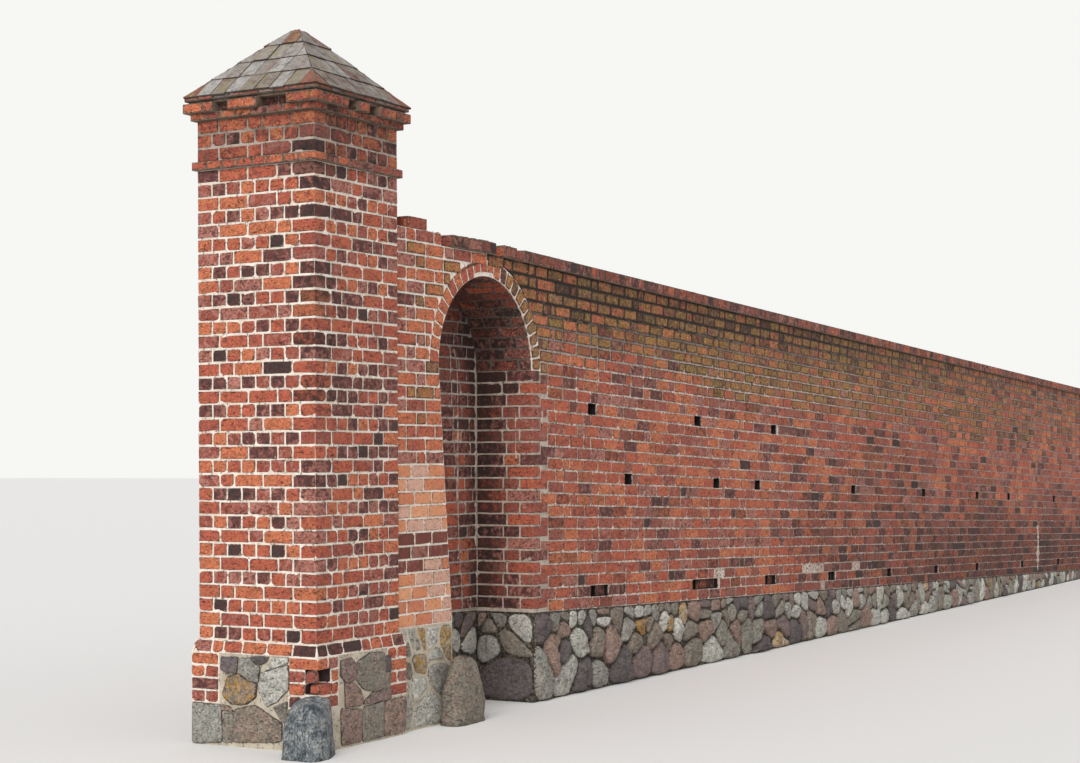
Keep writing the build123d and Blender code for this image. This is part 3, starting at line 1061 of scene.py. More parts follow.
# Stones of the plinth where the photograph shows them: tone, lichen, and
# the outline along the face and up, in millimetres
END_STONES = (
    (0.78, 0.0, ((268, 542), (325, 520), (409, 527), (420, 636), (268, 631))),
    (0.88, 0.0, ((540, 648), (554, 618), (616, 587), (667, 609), (695, 653))),
    (0.30, 0.0, ((434, 625), (427, 540), (515, 477), (596, 470), (618, 576),
        (554, 603), (533, 633))),
    (0.46, 0.40, ((328, 492), (286, 361), (364, 303), (498, 311), (575, 367),
        (586, 461), (512, 471), (424, 520))),
    (0.13, 0.0, ((635, 534), (607, 406), (678, 308), (766, 345), (865, 435),
        (861, 600), (759, 569))),
    (0.05, 0.0, ((706, 594), (660, 553), (759, 580), (861, 614), (861, 656),
        (727, 643))),
    (0.56, 0.0, ((268, 297), (275, 252), (381, 247), (342, 287))),
    (0.47, 0.08, ((395, 262), (388, 37), (794, 66), (801, 190), (695, 242),
        (572, 302))),
    (0.27, 0.0, ((14, 289), (14, 10), (275, 29), (268, 283))),
    (0.40, 0.0, ((289, 230), (289, 30), (381, 37), (381, 230))),
    (0.44, 0.0, ((731, 300), (819, 199), (854, 210), (854, 343))),
    (0.60, 0.0, ((860, 285), (868, 30), (1095, 30), (1095, 285))),
)
STREET_STONES = (
    (0.66, 0.0, ((1390, 612), (1390, 510), (1465, 452), (1561, 480), (1586, 554),
        (1515, 625))),
    (0.42, 0.0, ((1612, 590), (1592, 464), (1681, 395), (1802, 368), (1978, 363),
        (1993, 460), (1928, 482), (1915, 618), (1767, 632))),
    (0.86, 0.0, ((1913, 597), (1943, 492), (2009, 479), (2009, 597))),
    (0.67, 0.0, ((1777, 349), (1681, 305), (1676, 282), (1999, 284), (1999, 357))),
    (0.60, 0.0, ((1435, 456), (1450, 287), (1626, 285), (1651, 322), (1611, 398),
        (1525, 450))),
    (0.62, 0.0, ((1390, 270), (1400, 30), (1620, 30), (1640, 240))),
    (0.40, 0.0, ((1665, 250), (1650, 30), (1900, 30), (1910, 265))),
    (0.55, 0.0, ((1935, 265), (1925, 30), (2200, 30), (2200, 270))),
)
# Levels of the dark bands on the pier's near edge
STAINED_LEVELS = (2.46, 2.82, 3.10, 3.98)


@dataclass
class Pier:
    """The square pier: plinth of quoins and fieldstone panels, shaft, courses at its head."""

    bricks: Material
    stones: Material
    seed: int = 11
    plinth_course: float = 0.09
    quoin: float = 0.25              # long and short side of a quoin's brick
    quoin_short: float = 0.125
    # Bricks left in the upper cornice, along its plan line, and which of them has lichen
    cornice_left: tuple[Span, ...] = (
        (0.010, 0.180), (0.189, 0.262), (0.412, 0.652), (0.924, 1.255), (1.264, 1.370), (1.379, 1.490),
        (1.499, 1.562), (1.708, 1.822), (1.968, 2.062), (2.071, 2.162), (2.171, 2.262), (2.271, 2.362))
    cornice_crusted: int = 3
    # Its gaps: where the brick behind each starts, and how many corners lie before it
    cornice_gaps: tuple[tuple[float, int], ...] = ((0.27, 0), (0.66, 0), (0.79, 0), (1.57, 1), (1.83, 1))
    recess: float = 0.09             # depth of those gaps
    slope_top: float = 0.533         # half of the side at the sloping course's head
    # Sizes of its bricks on each face
    slope_sizes: tuple[tuple[float, ...], ...] = (
        (0.155, 0.10, 0.165, 0.21, 0.22, 0.19), (0.10, 0.17, 0.21, 0.10, 0.13, 0.13, 0.13),
        (0.2, 0.13, 0.2, 0.2, 0.13, 0.2), (0.13, 0.2, 0.2, 0.13, 0.2, 0.2))
    # Plan of the near quoin's hollow, from its corner
    hollow: tuple[Span, ...] = ((0.0, 0.105), (0.095, 0.095), (0.165, 0.0))
    # Tones of the bricks on both sides of the hollow, by course
    broken_rows: dict[int, Span] = field(default_factory=lambda: {1: (0.14, 0.24), 2: (0.42, 0.08)})
    # Bricks left in the hollow: tone, soot and painted shade, place from the corner and from the quoin's
    # foot, size
    left_bricks: tuple[tuple[float, float, Sequence[float], Sequence[float]], ...] = (
        (0.42, 0.20, (0.003, 0.012, 0.186), (0.034, 0.091, 0.080)),
        (0.24, 0.06, (0.026, 0.002, 0.096), (0.137, 0.076, 0.080)),
        (0.90, 0.70, (0.006, 0.006, 0.1045), (0.100, 0.096, 0.006)),
    )

    def ring(self, half: float, faces: Sequence[Sequence[float]]) -> list[Span]:
        """Bricks of one course round the pier.

        Args:
            half: Half of the pier's side.
            faces: The sizes on each face.

        Returns:
            Their spans along the plan line.
        """
        side, joints = 2 * half, []
        for index, sizes in enumerate(faces):
            scale, at = side / sum(sizes), index * side
            for size in sizes[:-1]:
                at += size * scale
                joints.append(at)
        spans = [(a + JOINT / 2, b - JOINT / 2) for a, b in zip(joints, joints[1:])]
        return [*spans, (0.001, joints[0] - JOINT / 2), (joints[-1] + JOINT / 2, 4 * side - 0.001)]

    def outside(self, span: Span, half: float, height: float) -> list[Span]:
        """What is left of a brick of the pier outside the wall that abuts it.

        Args:
            span: The brick's span along the plan line.
            half: Half of the pier's side.
            height: The brick's level.

        Returns:
            The spans left.
        """
        start = 5 * half + LINES.front
        wall = (start, start + LINES.back - LINES.front)
        return [span] if height > LINES.coping_top - 0.02 else cut_spans([span], [wall])

    def course(self, work: Masonry, half: float, rise: Span, faces: Sequence[Sequence[float]],
            clay: dict[Tone, float], chips: float = 1.0, soot: float = 0.0, lean: float = 0.0) -> None:
        """Lay one course round the pier.

        Args:
            work: Where its bricks go.
            half: Half of the pier's side.
            rise: Foot and head of the course, joints included.
            faces: The sizes of the bricks on each face.
            clay: Shares of their colours.
            chips: How chipped they are.
            soot: Soot on all of them.
            lean: How far the course's foot stands out.
        """
        surface, dice, side = Folded(square_plan(half), lean, rise[0], rise[1] - rise[0]), work.dice, 2 * half
        for whole in self.ring(half, faces):
            for span in self.outside(whole, half, rise[0]):
                low = rise[0] + JOINT / 2 + dice.uniform(-0.0025, 0.0025)
                high = rise[1] - JOINT / 2 + dice.uniform(-0.0025, 0.0025)
                # Damp and soot on the near edge, in bands, over painted shade along that edge
                middle = sum(span) / 2
                street = side + 0.14 < middle < 2 * side + 0.02
                near = 1 - smooth(0.05, 0.32, abs(middle - side - 0.06))
                band = max(math.exp(-((rise[0] - level) / 0.09) ** 2) for level in STAINED_LEVELS)
                dark = near * (0.10 + 0.48 * band)
                # Soot and painted shade under the cornices, more of both on the street face
                head = smooth(3.95, 4.25, rise[0]) * (0.38 if street else 0.20)
                # The street face's lower bricks take a darker clay: painted shade
                tone = pick(dice, SHADED_FACE_CLAY if street and rise[0] < 4.3 else clay)
                wear = Wear(tone, soot=soot + dark + head + 0.10 * dice.random() ** 3,
                    chips=chips + 1.2 * dark, proud=PROUD + dice.uniform(-0.0015, 0.0015))
                work.brick(surface, span, (low, high), wear, surface.corners())

    def shaft(self) -> None:
        """Lay the shaft and the frieze: courses of eight headers and of stretchers, turn about."""
        work, dice = begin(self.seed)
        low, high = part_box("shaft")
        headers = [HEADER] * 8
        for number in range(round((high.z - low.z) / PIER_COURSE)):
            inner = dice.choice(((HEADER, STRETCHER, STRETCHER), (STRETCHER, STRETCHER, HEADER),
                (STRETCHER, HEADER, STRETCHER)))
            faces = ([THREE_QUARTER, *inner, THREE_QUARTER], headers)
            rise, odd = rise_of(low.z, number, PIER_COURSE, 0.0), number % 2
            self.course(work, high.x, rise, faces[::1 if odd else -1] * 2, PIER_CLAY if odd else PIER_HEADERS)
        faces = ([THREE_QUARTER, STRETCHER, HEADER, STRETCHER, THREE_QUARTER], headers)
        for number in range(3):
            rise = rise_of(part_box("frieze")[0].z, number, PIER_COURSE, 0.0)
            self.course(work, high.x, rise, faces[::-1 if number % 2 else 1] * 2, PIER_CLAY, soot=0.08)
        work.piece("pier_brickwork", "old_brick", self.bricks)

    def mouldings(self) -> None:
        """Lay the string course, the lower cornice and the sloping course over the plinth."""
        work, _ = begin(self.seed + 1)
        for node, chips, soot, clay in (("string_course", 1.3, -0.08, STRING_CLAY),
                ("lower_cornice", 1.7, 0.02, CORNICE_CLAY)):
            low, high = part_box(node)
            self.course(work, high.x, (low.z - 0.003, high.z + 0.003), [[HEADER] * 8] * 4, clay, chips, soot)
        low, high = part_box("slope_course")
        self.course(work, self.slope_top, (low.z, high.z), self.slope_sizes, PIER_CLAY, 1.6, 0.08,
            lean=-low.x - self.slope_top)
        work.piece("pier_mouldings", "old_brick", self.bricks)

    def cornice(self) -> None:
        """Lay the upper cornice: what is left of its bricks, stubs, and brickwork in its gaps darkened as
        painted shade.
        """
        work, dice = begin(self.seed + 2)
        low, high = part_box("upper_cornice")
        side = 2 * high.x
        surface, recess = Folded(square_plan(high.x)), Folded(square_plan(high.x - self.recess))
        rise = (low.z + 0.003, high.z - 0.003)
        for number, span in enumerate(self.cornice_left):
            # Bricks past the end face are darker than those on it: painted shade
            wear = Wear(pick(dice, CORNICE_CLAY), 0.3 if number == self.cornice_crusted else 0.0,
                0.30 if side < (span[0] + span[1]) / 2 else 0.10, 1.3)
            work.brick(surface, span, rise, wear, surface.corners())
        for span in (*lay(2 * side + 0.01, 3 * side - 0.01, [HEADER], dice),
                *lay(3 * side + 0.005, 4 * side - 0.005, [STRETCHER, HEADER, HEADER], dice)):
            work.brick(surface, span, rise, Wear(pick(dice, CORNICE_CLAY), soot=0.2), surface.corners())
        for start, corner in self.cornice_gaps:
            # The recess is nearer to the pier's middle, so its plan line starts later at each corner
            at = start - (1 + 2 * corner) * self.recess
            # The recessed bricks in the gaps are darkened: painted shade
            work.brick(recess, (at + JOINT / 2, at + HEADER - JOINT / 2), rise,
                Wear(Tone.MAROON.value, soot=0.5, chips=1.5))
        work.piece("upper_cornice_bricks", "old_brick", self.bricks)

    def quoins(self) -> None:
        """Lay the brick quoins of the plinth, with the hole in the near one left open."""
        work, dice = begin(self.seed + 3)
        low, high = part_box("quoin_end_back")
        half, side = high.y, 2 * high.y
        surface, end = Folded(square_plan(half)), self.quoin - 0.7 * JOINT
        for number in range(round((high.z - low.z) / self.plinth_course)):
            rise = rise_of(low.z, number, self.plinth_course)
            for corner in range(5):
                at = corner * side
                broken = corner == 1 and number in self.broken_rows
                # A brick turns the corner, and a half brick fills up its shorter side
                short, next_one = self.quoin_short - 0.7 * JOINT, self.quoin_short + 0.006
                spans = [(-end, short), (next_one, end)]
                if (number + corner) % 2:
                    spans = [(-short, end), (-end, -next_one)]
                for a, b in ((-end, -0.103), (0.163, end)) if broken else spans:
                    whole = (max(at + a, 0.002), min(at + b, 4 * side - 0.002))
                    for span in self.outside(whole, half, rise[0]):
                        dark = number == 0 or (corner == 1 and dice.random() < 0.3)
                        tone = pick(dice, DARK_CLAY if dark else PIER_CLAY)
                        if broken:
                            tone = self.broken_rows[number][span[0] > at]
                        work.brick(surface, span, rise, Wear(tone, chips=1.5, soot=0.06), surface.corners())
        # The near quoin: clay darkened inside its hollow as painted shade, and the worn bricks left in it
        hollow = Folded(tuple((x - half, y - half) for x, y in self.hollow))
        for number, head in ((1, -0.002), (2, 0.014)):
            foot, top = rise_of(low.z, number, self.plinth_course, 0.0)
            for span in ((0.001, 0.099), (0.101, 0.207)):
                work.brick(hollow, span, (foot + 0.003, top + head),
                    Wear(Tone.BURNT.near(dice), soot=0.75, chips=2.0, proud=0.004))
        for tone, soot, near, size in self.left_bricks:
            corner = Vector((near[0] - half, near[1] - half, low.z + near[2]))
            work.block(corner, corner + Vector(size), Wear(tone, 0.0, soot, 2.2, 0.003),
                ("front", "start", "end", "top"))
        work.piece("plinth_quoins", "old_brick", self.bricks)

    def fieldstones(self) -> None:
        """Set the stones of the plinth's panels and of its foot."""
        work, dice = begin(self.seed + 4)
        half, foot, top = *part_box("pier_foot_stones")[1].yz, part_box("panel_end")[1].z
        side, surface = 2 * half, Folded(square_plan(half))
        for number, (tone, lichen, outline) in enumerate(END_STONES + STREET_STONES):
            outline = [(u / 1000, v / 1000) for u, v in outline]
            u0, v0 = centre_of(outline)
            scale = 1.08 if number < len(END_STONES) else 1.13
            grown = [(u0 + (u - u0) * scale, v0 + (v - v0) * scale) for u, v in outline]
            work.stone(surface, rounded(grown, 0.07, 0.028, 0.006, number), 0.014,
                Wear(tone, lichen, 0.03), Form.SPLIT)
        for margin, low, high, pitch, rows in ((self.quoin, foot, top, 0.19, (0.28, 0.75)),
                (0.012, 0.0, foot, 0.26, (0.5,))):
            left, right = 3 * side + margin, 4 * side - margin
            outline = [(left, low + 0.006), (right, low + 0.006), (right, high - 0.006), (left, high - 0.006)]
            seeds = [(left + (k + dice.uniform(0.3, 0.7)) * pitch, low + (high - low) * row) for row in rows
                for k in range(int((right - left) / pitch))]
            for number, shape in enumerate(cells(seeds, outline, 2.0)):
                work.stone(surface, rounded(inset(shape, 0.008), 0.12, 0.03, 0.005, number + 40.0), 0.018,
                    Wear(dice.uniform(0.1, 0.85), 0.05, 0.05), Form.SPLIT)
        work.piece("plinth_fieldstones", "fieldstone", self.stones, shaded=True)

    def build(self) -> None:
        """Build all of the pier below its cap."""
        for step in (self.shaft, self.mouldings, self.cornice, self.quoins, self.fieldstones):
            step()


# ---------------------------------------------------------------- the cap


@dataclass
class Cap:
    """The pyramid of flat tiles, laid in rows over a mortar bed, with mortared hips."""

    tiles: Material
    mortar: Material
    bed: Material
    rows: int = 4
    tile_width: float = 0.128
    thickness: float = 0.016
    gap: float = 0.0025              # half the gap between tiles
    sunk: float = 0.026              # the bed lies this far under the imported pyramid
    seed: int = 31

    def slopes(self) -> list[tuple[Flat, float, float, float]]:
        """The four slopes: the face, half of its eave, half of its top, and its length."""
        low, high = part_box("pyramid_cap")
        eave = high.x
        crown = max(v.co.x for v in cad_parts["pyramid_cap"].data.vertices if v.co.z > high.z - 0.001)
        rise, run = high.z - low.z, eave - crown
        length = math.hypot(rise, run)
        found = []
        for turn in range(4):
            out = Matrix.Rotation(turn * math.pi / 2, 3, "Z") @ -SIDE
            found.append((Flat(out * eave + UP * low.z, UP.cross(out), (out * rise + UP * run) / length,
                (UP * rise - out * run) / length), eave, crown, length))
        return found

    def plate(self, work: Masonry, surface: Flat, shape: Polygon, ends: Span, up: float,
            wear: Wear) -> None:
        """Add one tile as a closed plate, tipped up at its lower edge.

        Args:
            work: Where it goes.
            surface: The slope that it lies on.
            shape: Its outline.
            ends: Its lower and its upper end along the slope.
            up: How far its lower end is lifted.
            wear: Its colour.
        """
        middle, rings = centre_of(shape), []
        for shrink, high, rim in ((0.0, 0.0, 1.0), (0.0, self.thickness - 0.003, 1.0),
                (0.05, self.thickness, 0.0)):
            ring = []
            for u, v in shape:
                lift = up - 0.012 * (v - ends[0]) / (ends[1] - ends[0])
                place = surface.point(u + (middle[0] - u) * shrink, v + (middle[1] - v) * shrink * 0.6,
                    lift + high)
                ring.append(work.put(place, wear, rim))
            rings.append(ring)
        work.join(rings, closed=True)
        work.faces += [tuple(rings[-1]), tuple(reversed(rings[0]))]

    def cover(self) -> Object:
        """Lay the tiles of all four slopes."""
        work, dice = begin(self.seed)
        for number, (surface, eave, crown, length) in enumerate(self.slopes()):
            step, reach = length / self.rows, (eave - crown) / length
            # The street slope's tiles are darker and more sooted: painted shade
            shade = number == 1
            for row in range(self.rows):
                v0, v1 = row * step - (0.008 if row == 0 else 0.0), min((row + 1) * step + 0.03, length)
                at = -eave - dice.uniform(0.0, self.tile_width)
                while at < eave:
                    stop = at + self.tile_width * dice.uniform(0.95, 1.05)
                    foot = v0 + dice.uniform(-0.005, 0.005)
                    left, right, skew = at + self.gap, stop - self.gap, dice.uniform(-0.004, 0.004)
                    shape = [(left, foot), (right, foot + skew), (right, v1), (left, v1)]
                    for sign in (-1.0, 1.0):
                        shape = clip(shape, (sign * (eave + 0.004), 0.0), (sign, reach))
                    hip = eave - reach * (row + 0.5) * step - abs((at + stop) / 2)
                    red = (row == self.rows - 1 and dice.random() < 0.35) or (row == 0 and hip < 0.05)
                    tone = dice.uniform(0.72, 0.92) if red else dice.uniform(0.04, 0.45) + 0.14 * shade
                    at = stop
                    if len(shape) >= 3:
                        up, lichen = dice.uniform(-0.003, 0.003), 0.42 if dice.random() < 0.3 else 0.1
                        wear = Wear(tone, lichen, 0.18 * dice.random() + 0.16 * shade)
                        self.plate(work, surface, shape, (v0, v1), up, wear)
        piece = work.piece("cap_tiles", "cap_tile", self.tiles)
        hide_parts("pyramid_cap")
        return piece

    def bedding(self) -> Object:
        """Make the mortar bed that shows between the tiles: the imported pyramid, sunk a little."""
        _, eave, crown, length = self.slopes()[0]
        low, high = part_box("pyramid_cap")
        inward = self.sunk * length / (high.z - low.z)
        work, _ = begin(self.seed)
        foot, head = ([work.put(Vector((x * size, y * size, level)), Wear(0.0)) for x, y in SQUARE]
            for size, level in ((eave - inward, low.z), (crown + 0.01, high.z - 0.03)))
        work.join((foot, head), closed=True)
        work.faces += [tuple(head), tuple(reversed(foot))]
        piece = work.piece("cap_tile_bed", "lime_mortar", self.bed)
        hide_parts("pyramid_cap")
        return piece

    def eave(self) -> Object:
        """Lay the tiles that show their red edges under the lowest row."""
        work, dice = begin(self.seed + 1)
        low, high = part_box("eave_tiles")
        surface = Folded(square_plan(high.x))
        for span in lay(0.0, 8 * high.x, [self.tile_width, self.tile_width * 1.1], dice, 0.006):
            edge = Wear(dice.choice((0.78, 0.9, 0.66, 0.5)), soot=0.16, chips=0.5, proud=0.003)
            work.brick(surface, span, (low.z + 0.004, high.z - 0.001), edge, surface.corners())
        return work.piece("eave_tile_edges", "cap_tile", self.tiles)

    def hips(self) -> Object:
        """Lay the mortar fillets on the hips and the lump at the top."""
        work, dice = begin(self.seed + 2)
        low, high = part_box("pyramid_cap")
        crown = self.slopes()[0][2]
        mortar, steps = Wear(0.2, soot=0.1), 32
        for x, y in SQUARE:
            foot = Vector((x * high.x, y * high.y, low.z + 0.008))
            head = Vector((x * crown, y * crown, high.z))
            way = (head - foot).normalized()
            side = way.cross(UP).normalized()
            up = side.cross(way).normalized()
            rings = []
            for k in range(steps + 1):
                centre = foot.lerp(head, k / steps) + up * dice.uniform(-0.003, 0.002)
                centre += side * dice.uniform(-0.002, 0.002)
                size = 0.0065 * dice.uniform(0.5, 1.35)
                rings.append([work.put(centre + side * math.cos(a) * size * 1.5 + up * math.sin(a) * size,
                    mortar) for a in (math.pi * q / 3 for q in range(6))])
            work.join(rings, closed=True, flip=True)
            work.faces += [tuple(rings[0]), tuple(reversed(rings[-1]))]
        top = Flat(Vector((0.0, 0.0, high.z - 0.004)), SIDE, UP, DEEP)
        knob = [(crown * math.cos(a), crown * math.sin(a)) for a in (math.pi * q / 5 for q in range(10))]
        work.stone(top, knob, 0.012, Wear(0.2))
        return work.piece("hip_mortar", "lime_mortar", self.mortar, shaded=True)

    def build(self) -> None:
        """Build the cap."""
        for step in (self.cover, self.bedding, self.eave, self.hips):
            step()


# ---------------------------------------------------------------- the niche


@dataclass
class Niche:
    """The blind niche beside the pier, with the patched and the old brickwork round it."""

    bricks: Material
    repair: Material
    mortar: Material
    seed: int = 51
    voussoirs: int = 24
    leaf: float = 0.25               # depth of the coping's pieces and of the strip behind them
    coping_brick: float = 0.215      # length of the bricks on their faces
    turned: float = 0.375            # both sides of a brick that turns the far jamb's corner
    inner_courses: int = 28          # courses of the niche's back wall
    limed_above: int = 17            # above this course the far reveal is limed and sooted
    red_courses: tuple[int, ...] = (5, 6)        # old dark-red bricks in the repair
    crusted_course: int = 4                      # its course with lichen
    broken_voussoirs: tuple[int, ...] = (10, 11, 12)
    bright_voussoir: int = 8                     # a red brick of the arch's underside
    new_voussoirs: int = 14                      # those before this one are of brighter clay
    # The run of mortar on the niche's back wall, and those on its far reveal: path and width
    rear_run: tuple[tuple[Span, ...], float] = (
        ((2.20, 2.95), (2.235, 2.85), (2.256, 2.70), (2.256, 1.20)), 0.026)
    reveal_runs: tuple[tuple[tuple[Span, ...], float], ...] = (
        (((0.39, 2.43), (0.39, 2.04)), 0.024), (((0.12, 2.675), (0.50, 2.670)), 0.036),
        (((0.46, 1.63), (0.535, 1.65)), 0.05), (((0.46, 1.18), (0.535, 1.20)), 0.045),
        (((0.71, 2.435), (0.71, 2.225)), 0.024),
    )
    # Blots on the arch's edge: degrees from its far springing, and length
    arch_blots: tuple[Span, ...] = ((56, 0.05), (43, 0.045), (34, 0.055), (27, 0.04), (15, 0.05))

    def __post_init__(self) -> None:
        """Find the faces that its bricks lie on."""
        self.right, self.depth = LINES.centre + LINES.radius, LINES.niche_back - LINES.front
        self.street, self.rear = upright(LINES.front), upright(LINES.niche_back)
        self.jamb = LeaningJamb(LINES.front, (LINES.centre - LINES.radius, LINES.springing),
            (LINES.jamb_foot, LINES.base))
        self.reveal = Folded(((self.right, LINES.niche_back), (self.right, LINES.front),
            (LINES.far_end, LINES.front)))
        self.arch_face = ArchFace((LINES.centre, LINES.springing), LINES.front, LINES.radius)

    def patch(self) -> None:
        """Lay the repair: salmon bricks with two old dark-red courses among them."""
        work, dice = begin(self.seed)
        courses = round((LINES.patch_top - LINES.base) / WALL_COURSE)
        for number in range(courses):
            rise = rise_of(LINES.base, number, (LINES.patch_top - LINES.base) / courses)
            first = (STRETCHER * 0.92, HEADER * 0.95, STRETCHER * 0.7)[number % 3]
            for span in lay(LINES.start + 0.01, self.jamb.station(sum(rise) / 2),
                    [first, STRETCHER * 0.92, STRETCHER * 0.95], dice):
                tone = dice.choice((0.06, 0.16, 0.25, 0.36, 0.56))
                if number in self.red_courses:
                    tone = dice.choice((0.72, 0.76, 0.8))
                if number == self.crusted_course and span[0] < LINES.start + 0.3:
                    tone = Tone.MAROON.value
                lichen = 0.3 if number == self.crusted_course and tone < 0.6 else 0.0
                work.brick(self.street, span, rise, Wear(tone, lichen, chips=0.5, proud=0.004))
            for span in lay(0.006, self.depth, [(STRETCHER, HEADER)[number % 2], STRETCHER], dice):
                work.brick(self.jamb, span, rise, Wear(dice.choice((0.1, 0.25, 0.4)), chips=0.5))
        work.piece("repair_brickwork", "repair_brick", self.repair)

    def old_work(self) -> None:
        """Lay the stub and the near spandrel up to the flush course on their top."""
        work, dice = begin(self.seed + 1)
        tall = LINES.top - LINES.patch_top
        courses = round(tall / WALL_COURSE)
        patterns = ((STRETCHER, HEADER, STRETCHER), (HEADER, STRETCHER, STRETCHER),
            (HEADER, HEADER, STRETCHER))
        for number in range(courses + 1):
            rise = rise_of(LINES.patch_top, number, tall / courses)
            level = sum(rise) / 2
            above = level - LINES.springing
            end = self.jamb.station(level)
            if above > 0:
                end = LINES.centre - math.sqrt(max(0.0, LINES.ring ** 2 - above ** 2)) - 0.004
            if number == courses:
                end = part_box("near_top_course")[1].x
            for span in lay(LINES.start + 0.008, min(end, LINES.centre), patterns[number % 3], dice):
                lichen = 0.5 if dice.random() < 0.16 else 0.34 if 2.86 < level < 3.0 else 0.04
                work.brick(self.street, span, rise, Wear(pick(dice, STUB_CLAY), lichen))
            if above < 0:
                for span in lay(0.006, self.depth, patterns[(number + 1) % 3], dice):
                    # Reveal bricks inside the niche are darkened: painted shade
                    work.brick(self.jamb, span, rise, Wear(pick(dice, NICHE_CLAY), soot=0.15))
        work.piece("stub_brickwork", "old_brick", self.bricks)

    @staticmethod
    def crest(start: float, end: float) -> list[tuple[Vector, Vector, float]]:
        """Split a stretch of the wall's top where it begins to fall.

        Args:
            start: Where the stretch starts.
            end: Where it stops.

        Returns:
            Start, direction and length of each part.
        """
        found = []
        for low, high in ((start, min(end, LINES.centre)), (max(start, LINES.centre), end)):
            if high > low:
                foot, head = (Vector((x, 0.0, LINES.level(x, LINES.top))) for x in (low, high))
                found.append((foot, (head - foot).normalized(), (head - foot).length))
        return found

    def tops(self) -> None:
        """Lay bricks over the broken top of the wall: flush course, open bed, strip and coping pieces."""
        work, dice = begin(self.seed + 6)
        flush_end, leaf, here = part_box("near_top_course")[1].x, self.leaf, LINES.coping_start
        tall, strip = LINES.coping_top - LINES.top, LINES.coping_back - self.leaf
        faces = list(box_faces(*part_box("near_top_course")).values())[2:]
        for foot, way, size in self.crest(flush_end, here):
            faces.append((Flat(foot + DEEP * LINES.front, way, UP, DEEP), size, strip - LINES.front))
        # The strip at the back, then the pieces at the front, one leaf deep
        stations = sorted({round(v.co.x, 3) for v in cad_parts["coping_near_pieces"].data.vertices
            if v.co.y < LINES.coping_front + 0.001 and abs(v.co.x - LINES.centre) > 0.001})
        pieces = [(a, b, LINES.coping_front) for a, b in zip(stations[::2], stations[1::2])]
        for start, end, near in [(flush_end, here, strip), *pieces]:
            for foot, way, size in self.crest(start, end):
                front = foot + DEEP * near
                faces += [(Flat(front, way, -DEEP), size, tall),
                    (Flat(front + DEEP * leaf + way * size, -way, DEEP), size, tall),
                    (Flat(front + UP * tall, way, UP, DEEP), size, leaf)]
        # The ends of the pieces, and the broken end of the coping over the bay
        ends = [e for a, b, near in pieces for e in ((a, near + leaf, -1, leaf), (b, near, 1, leaf))]
        for x, y, way, size in [*ends, (here, strip, -1, strip - LINES.coping_front)]:
            corner = Vector((x, y, LINES.level(x, LINES.top)))
            faces.append((Flat(corner, DEEP * way, SIDE * way), size, tall))
        for surface, length, height in faces:
            rows = max(1, round(height / leaf))
            for row in range(rows):
                size = HEADER if height > tall + 0.01 else self.coping_brick
                for span in lay(0.002, length - 0.002, [size], dice, 0.008):
                    wear = Wear(pick(dice, LOW_CLAY), 0.35 * dice.random(), dice.uniform(0.1, 0.4), 1.4)
                    work.brick(surface, span, rise_of(0.0, row, height / rows), wear)
        work.piece("wall_top_brickwork", "old_brick", self.bricks)

    def far_spandrel(self) -> None:
        """Lay the spandrel beyond the crown, whose courses fall with the wall."""
        work, dice = begin(self.seed + 2)
        surface = Flat(Vector((LINES.centre, LINES.front, 0.0)), SIDE, -DEEP)
        for number in range(OVER_ARCH, COURSES):
            rise = rise_of(LINES.base, number)
            above = sum(rise) / 2 - LINES.springing
            reach = math.sqrt(max(0.0, LINES.ring ** 2 - max(0.0, above) ** 2))
            end = LINES.far_end - LINES.centre + (0.13 if number % 2 else 0.0)
            for span in lay(reach + 0.004, end, (STRETCHER, HEADER), dice):
                lichen, soot = wall_weather(surface.point(span[0], rise[0], 0.0))
                work.brick(surface, span, rise, Wear(pick(dice, WALL_CLAY),
                    max(lichen, 0.46) * dice.uniform(0.6, 1.25), soot), slope=LINES.fall)
        work.piece("far_spandrel_brickwork", "old_brick", self.bricks)

    def arch(self) -> None:
        """Lay the ring of headers and the bricks of its underside."""
        work, dice = begin(self.seed + 3)
        soffit = Soffit((LINES.centre, LINES.springing), LINES.front, LINES.radius)
        arc = math.pi * LINES.radius / self.voussoirs
        for number in range(self.voussoirs):
            span = (number * arc + 0.005, (number + 1) * arc - 0.005)
            broken = 0.03 if number in self.broken_voussoirs else 0.0
            clay = RING_CLAY if number < self.new_voussoirs else WALL_CLAY
            work.brick(self.arch_face, span, (LINES.radius + 0.002 + broken, LINES.ring - 0.006),
                Wear(pick(dice, clay), 0.55 * smooth(11, 16, number), 0.03, 1.5))
            for depth in lay(0.004, self.depth, (STRETCHER if number % 2 else HEADER, STRETCHER), dice):
                # Soffit bricks deeper under the arch are darker: painted shade
                wear = Wear(pick(dice, NICHE_CLAY), soot=0.5 if depth[0] > 0.1 else 0.3,
                    lime=0.66 if number < 6 or dice.random() < 0.25 else 0.0)
                if number == self.bright_voussoir and depth[0] < 0.3:
                    wear = Wear(Tone.RED.value)
                work.brick(soffit, span, depth, wear)
        work.piece("arch_brickwork", "old_brick", self.bricks)

    def corner_soot_and_shade(self, place: Vector) -> float:
        """Soot and painted shade, darker in the niche's far corner and under its arch."""
        off = math.hypot((self.right - place.x) * 1.7, LINES.niche_back - place.y)
        high = smooth(2.2, 3.0, place.z)
        return 0.60 * (1 - smooth(0.0, 0.42, off)) + 0.22 * high * (1 - smooth(0.3, 0.6, off))

